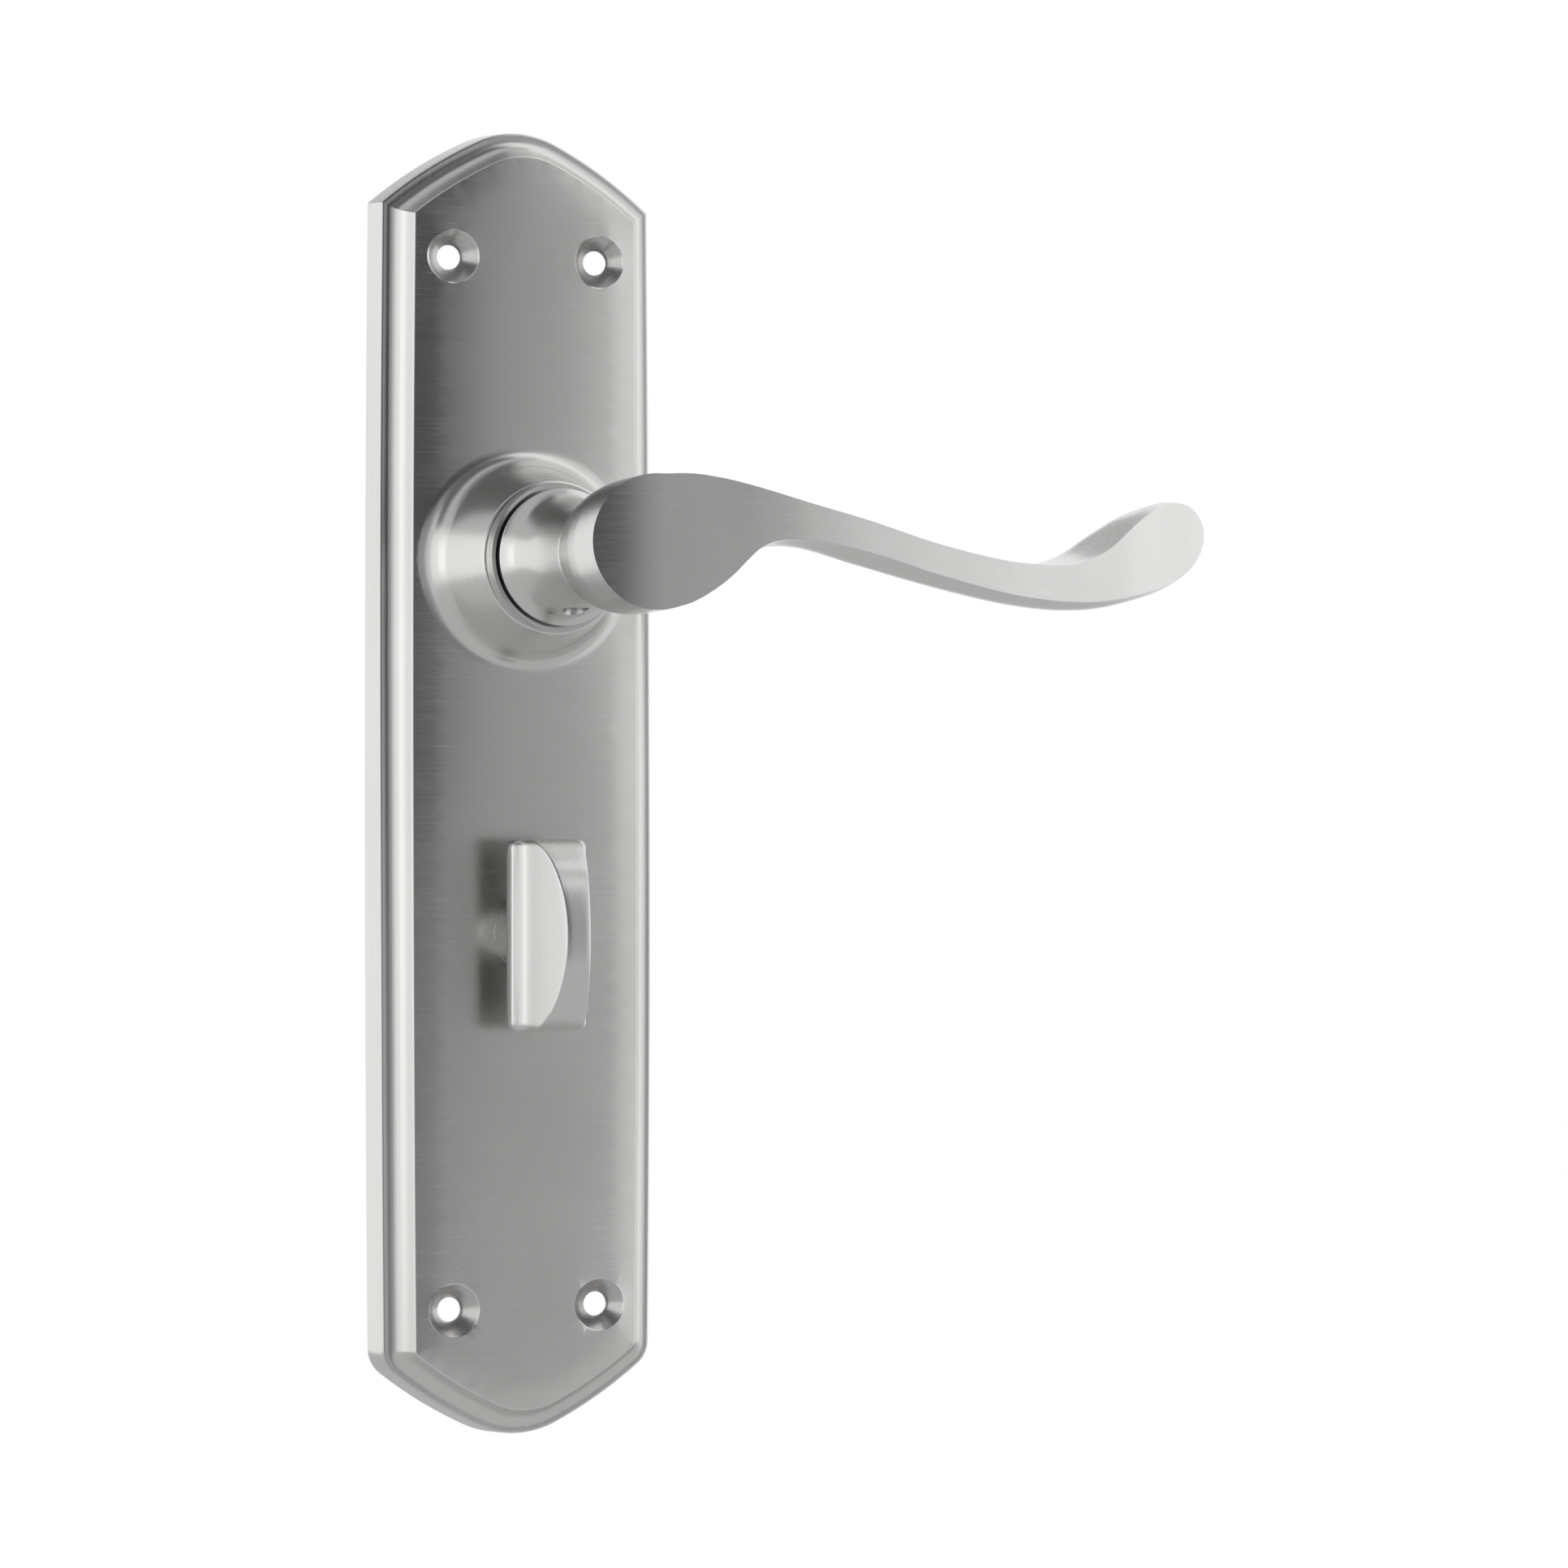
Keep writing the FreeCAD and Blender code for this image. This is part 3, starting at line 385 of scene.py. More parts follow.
class Shape:
    """A mesh made loop by loop. Depth runs out of the door, so it becomes -Y."""

    def __init__(self, name):
        self.name = name
        self.mesh = bmesh.new()

    def loop(self, points):
        return [self.mesh.verts.new((x * MM, -depth * MM, z * MM)) for x, depth, z in points]

    def belt(self, first, second):
        """Faces between two loops of equal count."""
        count = len(first)
        for index in range(count):
            after = (index + 1) % count
            self.mesh.faces.new((first[index], first[after], second[after], second[index]))
        return second

    def belts(self, start, rows):
        """Belts from a loop through several rows of points."""
        here = start
        for row in rows:
            here = self.belt(here, self.loop(row))
        return here

    def cap(self, loop):
        self.mesh.faces.new(loop)

    def fill(self, loops, depth_at, spacing):
        """Triangles inside the first loop and outside the others, bulged by depth_at(x, z)."""
        flat = []
        edges = []
        known = []
        rings = [[Vector((vert.co.x / MM, vert.co.z / MM)) for vert in loop] for loop in loops]
        for loop, ring in zip(loops, rings):
            start = len(flat)
            flat += ring
            known += loop
            edges += [(start + index, start + (index + 1) % len(loop)) for index in range(len(loop))]
        extra = inner_points(rings, spacing)
        flat += extra
        known += [None] * len(extra)
        places, _, faces, sources, _, _ = geometry.delaunay_2d_cdt(flat, edges, [], 1, 0.0001)
        made = [known[source[0]] if source else None for source in sources]
        on_loop = [vert is not None for vert in made]
        for index, vert in enumerate(made):
            if vert is None:
                x, z = places[index]
                made[index] = self.mesh.verts.new((x * MM, -depth_at(x, z) * MM, z * MM))
        for face in faces:
            if all(on_loop[index] for index in face):
                middle = sum((places[index] for index in face), Vector((0.0, 0.0))) / len(face)
                if not inside(middle, rings[0]) or any(inside(middle, ring) for ring in rings[1:]):
                    continue
            self.mesh.faces.new([made[index] for index in face])

    def finish(self, body, material, slot_name, sharp_degrees, stands_for=()):
        bmesh.ops.recalc_face_normals(self.mesh, faces=self.mesh.faces)
        open_edges = len([edge for edge in self.mesh.edges if not edge.is_manifold])
        data = bpy.data.meshes.new(self.name)
        self.mesh.to_mesh(data)
        self.mesh.free()
        data.materials.append(material)
        data.shade_smooth()
        data.set_sharp_from_angle(angle=math.radians(sharp_degrees))
        piece = bpy.data.objects.new(self.name, data)
        scene.collection.objects.link(piece)
        weighted = piece.modifiers.new("weighted", "WEIGHTED_NORMAL")
        weighted.keep_sharp = True
        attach(piece, body)
        if stands_for:
            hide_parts(*stands_for)
        print(self.name, "faces", len(data.polygons), "open edges", open_edges)
        return piece


# %% Points inside an outline
def side_distance(point, loop):
    """Distance in the X-Z plane from a point to the nearest side of a loop."""
    best = 1e9
    for index, start in enumerate(loop):
        end = loop[(index + 1) % len(loop)]
        along = end - start
        share = max(0.0, min(1.0, (point - start).dot(along) / along.length_squared))
        best = min(best, (point - start - along * share).length_squared)
    return math.sqrt(best)


def inside(point, loop):
    """Counts how often a ray along X crosses the loop."""
    crossings = 0
    for index, start in enumerate(loop):
        end = loop[(index + 1) % len(loop)]
        if (start.y > point.y) != (end.y > point.y):
            if point.x < start.x + (point.y - start.y) * (end.x - start.x) / (end.y - start.y):
                crossings += 1
    return crossings % 2 == 1


def inner_points(loops, spacing):
    """A honeycomb of points inside the first loop and clear of every loop."""
    outer = loops[0]
    low_x, high_x = min(p.x for p in outer), max(p.x for p in outer)
    low_z, high_z = min(p.y for p in outer), max(p.y for p in outer)
    rise = spacing * math.sqrt(0.75)
    points = []
    for row in range(int((high_z - low_z) / rise)):
        for column in range(int((high_x - low_x) / spacing) + 1):
            shift = spacing / 2 if row % 2 else 0.0
            point = Vector((low_x + shift + column * spacing, low_z + rise * (row + 0.5)))
            if not inside(point, outer) or any(inside(point, hole) for hole in loops[1:]):
                continue
            if all(side_distance(point, loop) > spacing * 0.6 for loop in loops):
                points.append(point)
    return points


def circle(radius, depth, count, x=0.0, z=0.0):
    turn = 2 * math.pi / count
    return [(x + radius * math.cos(turn * i), depth, z + radius * math.sin(turn * i)) for i in range(count)]


def arc(centre, radius, start, end, steps):
    """Points (a, b) on an arc, with angles in degrees."""
    points = []
    for index in range(steps + 1):
        angle = math.radians(start + (end - start) * index / steps)
        points.append((centre[0] + radius * math.cos(angle), centre[1] + radius * math.sin(angle)))
    return points


# %% [markdown]
# ## Backplate outline
# The plate's outline is made of arcs: a round apex, two long slopes, two barely bowed sides, and the
# same below. Moving an arc inwards only shortens its radius, so one function gives every loop of the
# moulding. The upper shoulders are crisp and the lower ones are worn round, as on the real casting.

# %% Outline of the plate
plate_low, plate_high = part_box("backplate")
half_width = plate_high.x / MM
half_height = (plate_high.z - plate_low.z) / MM / 2
plate_middle = (plate_high.z + plate_low.z) / MM / 2
apex_radius = 15.5
apex_half_angle = math.radians(25.0)
shoulder = (half_width - 0.45, half_height - 11.5)
upper_round = 0.7
lower_round = 5.0
least_round = 0.03


def upper_crossing(c1, r1, c2, r2):
    """The upper right crossing of two circles."""
    dx, dz = c2[0] - c1[0], c2[1] - c1[1]
    gap = math.hypot(dx, dz)
    along = (r1 * r1 - r2 * r2 + gap * gap) / (2 * gap)
    side = math.sqrt(r1 * r1 - along * along)
    both = [(c1[0] + (along * dx - sign * side * dz) / gap, c1[1] + (along * dz + sign * side * dx) / gap)
            for sign in (-1, 1)]
    return max(both, key=lambda p: p[1])


apex_centre = (0.0, half_height - apex_radius)
slope_normal = (math.sin(apex_half_angle), math.cos(apex_half_angle))
to_shoulder = (shoulder[0] - apex_centre[0], shoulder[1] - apex_centre[1])
along_normal = to_shoulder[0] * slope_normal[0] + to_shoulder[1] * slope_normal[1]
slope_offset = ((to_shoulder[0] ** 2 + to_shoulder[1] ** 2 - apex_radius ** 2)
                / (2 * (along_normal - apex_radius)))
slope_radius = apex_radius - slope_offset
slope_centre = (slope_offset * slope_normal[0], apex_centre[1] + slope_offset * slope_normal[1])
side_bow = half_width - shoulder[0]
side_radius = (shoulder[1] ** 2 + side_bow ** 2) / (2 * side_bow)
side_centre = (half_width - side_radius, 0.0)


def corner_of_outline(inset, rounding):
    """A quarter of the outline, from the apex to the middle of the side, without its last point."""
    rounding = max(rounding - inset, least_round)
    centre = upper_crossing(slope_centre, slope_radius - inset - rounding,
                            side_centre, side_radius - inset - rounding)
    slope_end = math.atan2(centre[0] - slope_centre[0], centre[1] - slope_centre[1])
    side_start = math.atan2(centre[0] - side_centre[0], centre[1] - side_centre[1])
    quarter = []
    for middle, radius, start, end, steps in (
            (apex_centre, apex_radius - inset, 0.0, apex_half_angle, 10),
            (slope_centre, slope_radius - inset, apex_half_angle, slope_end, 14),
            (centre, rounding, slope_end, side_start, 8),
            (side_centre, side_radius - inset, side_start, math.pi / 2, 36)):
        for index in range(steps):
            angle = start + (end - start) * index / steps
            quarter.append((middle[0] + radius * math.sin(angle), middle[1] + radius * math.cos(angle)))
    return quarter


def outline(inset, depth):
    """The whole loop, clockwise from the upper apex."""
    upper = corner_of_outline(inset, upper_round)
    lower = corner_of_outline(inset, lower_round)
    right_side = [(half_width - inset, 0.0)]
    loop = list(upper) + right_side
    loop += [(x, -z) for x, z in reversed(lower)]
    loop += [(-x, -z) for x, z in lower[1:]] + [(-(half_width - inset), 0.0)]
    loop += [(-x, z) for x, z in reversed(upper[1:])]
    return [(x, depth, plate_middle + z) for x, z in loop]


print("outline points:", len(outline(0.0, 0.0)), "slope radius in mm:", round(slope_radius, 1))

# %% [markdown]
# ## Backplate
# The section of the moulding runs from the door face up the outer wall, over a small rounded arris,
# down into a hollow cove, and up again to the raised panel. The panel is not truly flat: it falls
# away slightly towards its edges, which is what makes a brushed face shade from one side to the other.
# The boss, countersinks and the socket of the thumb-turn grow out of loops cut into that face.

# %% Moulding section
plate_depth = 10.0
arris_depth = 5.7
wall_lean = 0.4
arris_round = 0.35
cove_end = 4.2
panel_round = 0.3
edge_fall = 0.30
fall_width = 15.0
roll_fall = 0.16
roll_width = 2.6
panel_edge_depth = plate_depth - edge_fall - roll_fall
panel_inset = cove_end + panel_round
cove_power = 3.4
cove_dip = 0.035

section = [(wall_lean * share, arris_depth * share) for share in (0.0, 0.04, 0.5, 0.9)]
section += [(wall_lean + arris_round - a, arris_depth - arris_round + b)
            for a, b in arc((0.0, 0.0), arris_round, 0.0, 90.0, 5)]
cove_start = wall_lean + arris_round
cove_rise = panel_edge_depth - panel_round - arris_depth
for step in range(1, 23):
    share = step / 22
    section.append((cove_start + (cove_end - cove_start) * share,
                    arris_depth + cove_rise * share ** cove_power
                    - cove_dip * math.sin(math.pi * min(share * 2.6, 1.0))))
section += [(cove_end + panel_round - a, panel_edge_depth - panel_round + b)
            for a, b in arc((0.0, 0.0), panel_round, 0.0, 90.0, 5)[2:]]
print("section steps:", len(section))

# %% Gentle fall of the panel
panel_loop = [Vector((x, z)) for x, depth, z in outline(panel_inset, 0.0)]


def belly(x, z):
    """The casting is bowed across its width, more above the lever than below it."""
    upper = max(0.0, min(1.0, (z + 75.0) / 90.0))
    return (0.08 + 0.62 * upper * upper * (3 - 2 * upper)) * (x / half_width) ** 2


def panel_depth(x, z):
    """Depth of the raised panel: nearly flat in the middle, falling and then rolling off at its edge."""
    distance = side_distance(Vector((x, z)), panel_loop)
    share = min(distance / fall_width, 1.0)
    roll = max(0.0, 1.0 - distance / roll_width)
    return plate_depth - belly(x, z) - edge_fall * (1.0 - share) ** 2.2 - roll_fall * roll ** 2.2


# %% Boss section
boss_base = 14.197
flare_width = 3.5
flare_height = 2.7
boss_front = -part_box("split_guide_ring")[1].y / MM
boss_front_radius = 11.71
boss_edge_round = 0.5
boss_sides = 96
bush_bore = 9.527
chamber_radius = 11.597
chamber_end = 14.1
inner_face = 7.5

boss_rows = []
for step in range(1, 15):
    share = step / 14
    boss_rows.append((boss_base + flare_width * (1 - share),
                      plate_depth + flare_height * share ** 2.9, 1 - share))
lean = (boss_front_radius - boss_rows[-1][0]) / (boss_front - boss_edge_round - boss_rows[-1][1])
for share in (0.3, 0.65, 1.0):
    reach = share * (boss_front - boss_edge_round - boss_rows[-1][1])
    boss_rows.append((boss_rows[13][0] + lean * reach, boss_rows[13][1] + reach, 0.0))
for a, b in arc((0.0, 0.0), boss_edge_round, 10.0, 90.0, 5):
    boss_rows.append((boss_front_radius - boss_edge_round + a, boss_front - boss_edge_round + b, 0.0))
boss_rows.append((bush_bore, boss_front, 0.0))
boss_rows.append((bush_bore, chamber_end, 0.0))


def boss_loop(radius, depth, follow):
    """A loop of the boss. Near its foot it follows the slightly falling panel."""
    points = []
    for x, d, z in circle(radius, depth, boss_sides):
        points.append((x, d + follow * (panel_depth(x, z) - plate_depth), z))
    return points


# %% Front of the plate
plate = Shape("plate_casting")
front = plate.loop(outline(0.0, 0.0))
back_rim = front
moulding = []
for inset, depth in section[1:]:
    share = min(depth / arris_depth, 1.0) ** 2
    moulding.append([(x, d - share * belly(x, z), z) for x, d, z in outline(inset, depth)])
front = plate.belts(front, moulding)

boss_foot = plate.loop(boss_loop(boss_base + flare_width, plate_depth, 1.0))
bore_end = plate.belts(boss_foot, [boss_loop(*row) for row in boss_rows])

hole_x = 12.0
hole_z = (46.0, -114.0)
hole_radius = 1.85
sink_radius = 4.0
sink_round = 0.18
hole_sides = 48
turn_z = -57.0
turn_bore = 5.326
holes = []
hole_ends = []
for x in (-hole_x, hole_x):
    for z in hole_z:
        face = [(px, panel_depth(px, pz), pz) for px, d, pz in circle(sink_radius + sink_round, 0.0,
                                                                      hole_sides, x, z)]
        lip = plate.loop(face)
        holes.append(lip)
        level = panel_depth(x, z)
        sink = sink_radius - hole_radius
        rows = [(sink_radius, level - 0.06), (sink_radius - sink_round, level - 0.24)]
        rows += [(sink_radius - sink * share, level - sink * share) for share in (0.3, 0.55, 0.8, 0.97)]
        rows += [(hole_radius, level - sink - 0.05), (hole_radius, inner_face)]
        hole_ends.append(plate.belts(lip, [circle(r, d, hole_sides, x, z) for r, d in rows]))

socket_mouth = [(px, panel_depth(px, pz), pz) for px, d, pz in circle(turn_bore, 0.0, hole_sides, 0.0, turn_z)]
turn_mouth = plate.loop(socket_mouth)
plate.fill([front, boss_foot, turn_mouth, *holes], panel_depth, 2.2)
print("front loops:", len(section) + len(boss_rows))

# %% [markdown]
# The back of a cast plate is hollow to save metal. A rim stands on the door, a step inside it meets
# the thin wall, and small posts, a chamber for the spring and blind holes for the stop pins are cast
# or drilled in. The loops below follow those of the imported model, so that the pieces behind fit.

# %% Back of the plate
rim_inset = 2.6
step_depth = 3.3
pocket_inset = 5.2
post_radius = 3.4
post_z = 21.497
post_end = 1.5
screw_radius = 1.5
screw_hole_end = 6.1
pin_hole_end = 9.1
hub_radius = 7.603
hub_end = 5.6
leg_hole_radius = 0.85
leg_hole_end = 16.3
spring_radius = 10.547
pin_sides = 24

pocket = plate.belts(back_rim, [outline(rim_inset, 0.0), outline(rim_inset, step_depth),
                                outline(pocket_inset, step_depth), outline(pocket_inset, inner_face)])
inner_loops = [pocket]

chamber_top = plate.loop(circle(chamber_radius, inner_face, boss_sides))
inner_loops.append(chamber_top)
chamber_floor = plate.belt(chamber_top, plate.loop(circle(chamber_radius, chamber_end, boss_sides)))
spring_turns = 3.25
leg_turn = math.radians(90.0 + 360.0 * spring_turns)
leg_x = spring_radius * math.cos(leg_turn) - 1.2 * math.sin(leg_turn)
leg_z = spring_radius * math.sin(leg_turn) + 1.2 * math.cos(leg_turn)
leg_mouth = plate.loop(circle(leg_hole_radius, chamber_end, pin_sides, leg_x, leg_z))
plate.cap(plate.belt(leg_mouth, plate.loop(circle(leg_hole_radius, leg_hole_end, pin_sides, leg_x, leg_z))))
plate.fill([chamber_floor, bore_end, leg_mouth], lambda x, z: chamber_end, 3.0)

for z in (post_z, -post_z):
    foot = plate.loop(circle(post_radius, inner_face, hole_sides, 0.0, z))
    inner_loops.append(foot)
    rows = [(post_radius, post_end), (screw_radius, post_end), (screw_radius, screw_hole_end)]
    plate.cap(plate.belts(foot, [circle(r, d, hole_sides, 0.0, z) for r, d in rows]))

hub_foot = plate.loop(circle(hub_radius, inner_face, hole_sides, 0.0, turn_z))
inner_loops.append(hub_foot)
hub_top = plate.belts(hub_foot, [circle(hub_radius, hub_end, hole_sides, 0.0, turn_z),
                                 circle(turn_bore, hub_end, hole_sides, 0.0, turn_z)])
plate.belt(hub_top, turn_mouth)

# %% Blind holes for the stop pins
def pin_places(node, count):
    """Centre and radius of each pin of a node, found from the gap in its points along X."""
    points = sorted((v.co.x / MM, v.co.z / MM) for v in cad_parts[node].data.vertices)
    gaps = [(points[i + 1][0] - points[i][0], i) for i in range(len(points) - 1)]
    split = max(gaps)[1] + 1
    places = []
    for group in (points[:split], points[split:]):
        xs, zs = [p[0] for p in group], [p[1] for p in group]
        places.append(((min(xs) + max(xs)) / 2, (min(zs) + max(zs)) / 2, (max(xs) - min(xs)) / 2))
    return places[:count]


for node in ("lever_stop_pins", "turn_stop_pins"):
    for x, z, radius in pin_places(node, 2):
        mouth = plate.loop(circle(radius + 0.005, inner_face, pin_sides, x, z))
        inner_loops.append(mouth)
        plate.cap(plate.belt(mouth, plate.loop(circle(radius + 0.005, pin_hole_end, pin_sides, x, z))))
        print(node, "hole at", round(x, 2), round(z, 2), "radius", round(radius, 2))

# %% Close the back
for x, z in [(x, z) for x in (-hole_x, hole_x) for z in hole_z]:
    inner_loops.append(hole_ends.pop(0))
plate.fill(inner_loops, lambda x, z: inner_face, 5.0)
plate_piece = plate.finish("plate", plate_nickel, "plate_satin_nickel", 35.0, ("backplate",))

# %% [markdown]
# One casting is brushed in several directions: the panel across, the moulding along its length, and
# the boss and the countersinks in circles, as the lathe and the drill leave them. The countersinks are
# also given a darker nickel colour, which is painted shade in those recesses. Each face of the mesh is
# given the finish of its own zone, found from where the middle of the face lies.

# %% Zones of the plate
for finish in (moulding_nickel, boss_nickel, sink_nickel_painted_shade):
    plate_piece.data.materials.append(finish)
zones = {"panel": 0, "moulding": 1, "boss": 2, "countersink": 3}
counts = [0, 0, 0, 0]
for face in plate_piece.data.polygons:
    x, depth, z = face.center.x / MM, -face.center.y / MM, face.center.z / MM
    from_axis = math.hypot(x, z)
    from_hole = min(math.hypot(x - side * hole_x, z - level) for side in (-1, 1) for level in hole_z)
    zone = "moulding"
    if from_hole < sink_radius + 0.02 and depth < panel_depth(x, z) - 0.02:
        zone = "countersink"
    elif from_axis < boss_base + flare_width * 0.6:
        zone = "boss"
    elif depth > panel_edge_depth - belly(x, z) - 0.08 and face.normal.y < -0.9:
        zone = "panel"
    face.material_index = zones[zone]
    counts[zones[zone]] += 1
print("faces in each zone:", dict(zip(zones, counts)))

# %% [markdown]
# ## Lever
# The lever is one casting: a waisted neck, a round head, and a long wavy shank ending in a paddle. Its
# front is a single polished facet that meets the round body in a crisp edge. A sculptor would model
# the soft body first and slice the facet off last, and that is done here. Sections are drawn along
# the shank, the round head is added, a voxel remesh joins the two into one skin, smoothing melts
# the joint between them, and a boolean slices off the facet.

# %% Sections along the shank
facet_depth = 60.4
lever_reach = 100.6
# Each row: share of the reach, fall of the facet towards the door, thickness behind the facet, then the
# height of four edges: top of the facet, top of the back, bottom of the facet, underside.
stations = [
    (0.00, 0.0, 14.0, 10.6, 9.4, -8.6, -8.8), (0.05, 0.0, 15.0, 10.9, 9.8, -7.9, -8.3),
    (0.11, 0.0, 14.0, 10.2, 9.2, -4.4, -4.9), (0.17, 0.0, 12.6, 8.9, 8.0, 0.8, 0.0),
    (0.24, 0.2, 11.2, 7.1, 6.4, 1.6, 0.7), (0.34, 0.9, 10.3, 4.7, 4.2, 0.1, -1.6),
    (0.46, 2.2, 10.2, 1.5, 1.2, -3.0, -4.4), (0.58, 4.1, 10.2, -0.7, -0.7, -5.5, -6.7),
    (0.66, 5.9, 10.3, -1.2, -0.9, -6.4, -7.6), (0.72, 7.3, 10.2, -0.9, 0.8, -6.6, -7.8),
    (0.78, 9.0, 9.5, 1.5, 4.3, -6.2, -7.4), (0.84, 10.9, 8.7, 5.8, 7.3, -5.1, -6.2),
    (0.90, 13.4, 7.4, 8.7, 8.6, -3.6, -4.5), (0.95, 16.1, 6.0, 8.8, 8.2, -1.5, -2.2),
    (0.985, 18.6, 4.4, 7.2, 6.8, 1.2, 0.8), (1.0, 19.9, 3.1, 5.4, 5.2, 3.4, 3.3),
]


def through(p0, p1, p2, p3, t0, t1, t2, t3, t):
    """A value on a smooth curve through four values at four uneven places."""
    slope1 = (p2 - p0) / (t2 - t0) if t2 > t0 else 0.0
    slope2 = (p3 - p1) / (t3 - t1) if t3 > t1 else 0.0
    span = t2 - t1
    u = (t - t1) / span
    return (p1 * (1 + 2 * u) * (1 - u) ** 2 + slope1 * span * u * (1 - u) ** 2
            + p2 * u * u * (3 - 2 * u) + slope2 * span * u * u * (u - 1))


def station_at(share):
    """All six values of a section at any share of the reach."""
    last = len(stations) - 1
    index = max(i for i in range(last) if stations[i][0] <= share or i == 0)
    rows = [stations[max(index - 1, 0)], stations[index], stations[index + 1],
            stations[min(index + 2, last)]]
    places = [row[0] for row in rows]
    return [through(*[row[column] for row in rows], *places, share) for column in range(1, 7)]


def smooth_loop(points, per_side):
    """A closed smooth curve through points, as a list of (a, b)."""
    count = len(points)
    loop = []
    for index in range(count):
        p = [Vector(points[(index + shift) % count]) for shift in (-1, 0, 1, 2)]
        knots = [0.0]
        for first, second in zip(p, p[1:]):
            knots.append(knots[-1] + max((second - first).length, 0.01) ** 0.5)
        for step in range(per_side):
            t = knots[1] + (knots[2] - knots[1]) * step / per_side
            loop.append([through(*[q[axis] for q in p], *knots, t) for axis in (0, 1)])
    return loop


spare = 2.0


def shank_loop(share):
    """One section, drawn a little past the facet so that the facet can be sliced off later."""
    fall, thick, top, back_top, low, under = station_at(share)
    front = facet_depth - fall
    height = top - under
    points = [(front + spare, top - 0.25 * spare), (front, top),
              (front - 0.4 * thick, top + 0.5 * (back_top - top) + 0.03 * height),
              (front - 0.8 * thick, back_top - 0.06 * height),
              (front - thick, 0.5 * (back_top + under)),
              (front - 0.8 * thick, under + 0.12 * height),
              (front - 0.45 * thick, under), (front, low), (front + spare, low + 0.25 * spare)]
    x = share * lever_reach
    return [(x, depth, z) for depth, z in smooth_loop(points, 6)]


shank = Shape("lever_body")
section_count = 84
start = shank.loop(shank_loop(0.0))
end = shank.belts(start, [shank_loop((index / section_count) ** 0.9) for index in range(1, section_count + 1)])
shank.cap(start)
shank.cap(end)
print("shank sections:", section_count)

# %% Round head
collar_depth = 40.9
collar_radius = 7.297
head_radius = 9.95
head_lift = 0.95
head_rows = [(0.0, 0.0), (0.05, 0.22), (0.12, 0.44), (0.2, 0.64), (0.3, 0.8), (0.45, 0.94), (0.6, 1.0),
             (0.8, 1.0), (1.0, 0.98), (1.1, 0.97)]
head_loops = []
for up, share in head_rows:
    head_loops.append(circle(collar_radius + (head_radius - collar_radius) * share,
                             collar_depth + (facet_depth - collar_depth) * up, 96, 0.0, head_lift * up))
start = shank.loop(head_loops[0])
end = shank.belts(start, head_loops[1:])
shank.cap(start)
shank.cap(end)
bmesh.ops.recalc_face_normals(shank.mesh, faces=shank.mesh.faces)


# %% [markdown]
# A modifier is not applied to the mesh until Blender evaluates it. This small helper adds modifiers to
# an object, takes the evaluated mesh as the new mesh, and clears the list again.

# %% Bake modifiers
def bake(piece, *modifiers):
    """Adds modifiers, given as (type, settings), and keeps their result."""
    for kind, settings in modifiers:
        modifier = piece.modifiers.new(kind.lower(), kind)
        for key, value in settings.items():
            setattr(modifier, key, value)
    depsgraph = bpy.context.evaluated_depsgraph_get()
    result = bpy.data.meshes.new_from_object(piece.evaluated_get(depsgraph))
    old = piece.data
    piece.modifiers.clear()
    piece.data = result
    bpy.data.meshes.remove(old)
    return piece


def loose(shape):
    """Turns a Shape into a plain object for modifiers to work on."""
    bmesh.ops.recalc_face_normals(shape.mesh, faces=shape.mesh.faces)
    data = bpy.data.meshes.new(shape.name)
    shape.mesh.to_mesh(data)
    shape.mesh.free()
    piece = bpy.data.objects.new(shape.name, data)
    scene.collection.objects.link(piece)
    return piece


def carve(piece, cutter, operation="DIFFERENCE"):
    """Cuts a loose object out of a piece, or adds it, and removes it."""
    bake(piece, ("BOOLEAN", {"operation": operation, "object": cutter, "solver": "EXACT"}))
    bpy.data.objects.remove(cutter)


lever = loose(shank)
bake(lever, ("REMESH", {"mode": "VOXEL", "voxel_size": 0.42 * MM}))
joint_group = lever.vertex_groups.new(name="joint")
for vert in lever.data.vertices:
    from_joint = Vector((vert.co.x / MM - 7.0, (-vert.co.y / MM - 47.0) * 0.7)).length
    weight = max(0.28, min(1.0, 1.5 - from_joint / 14.0))
    if vert.co.x / MM > 88.0:
        weight = 0.15
    joint_group.add([vert.index], weight, "REPLACE")
bake(lever, ("SMOOTH", {"factor": 0.5, "iterations": 26, "vertex_group": "joint"}))
print("lever skin faces:", len(lever.data.polygons))

# %% [markdown]
# The facet is level over the head and then falls towards the door, faster near the tip. It is very
# slightly crowned, because polishing on a belt always takes a little more off the edges.

# %% Slice off the facet
crown = 0.9
cutter = Shape("facet_slice")
slices = 130
across = 14
reach_low, reach_high = -16.0, 108.0
near_loops = []
for index in range(slices + 1):
    x = reach_low + (reach_high - reach_low) * index / slices
    share = max(0.0, min(x / lever_reach, 1.0))
    fall = station_at(share)[0] + max(0.0, x - lever_reach) * 1.1
    left_fall = crown * (max(0.0, 1.0 - x) / 12.0) ** 2
    row = []
    for step in range(across + 1):
        z = 17.0 * (2 * step / across - 1)
        middle = 0.5 * (station_at(share)[2] + station_at(share)[4])
        tilt = 0.0009 * (z - middle) ** 2
        row.append((x, facet_depth - fall - left_fall - tilt, z))
    row.append((x, 80.0, 17.0))
    row.append((x, 80.0, -17.0))
    near_loops.append(row)
start = cutter.loop(near_loops[0])
end = cutter.belts(start, near_loops[1:])
cutter.cap(start)
cutter.cap(end)
carve(lever, loose(cutter))
print("after the facet:", len(lever.data.polygons))

# %% [markdown]
# The neck is turned: a profile spun round the spindle axis. It carries a flange over the bush, a
# smooth journal inside it, and a spigot with a clip groove behind the plate. A square socket for the
# spindle and a threaded hole for the grub screw are cut into it, and then neck and lever are joined.

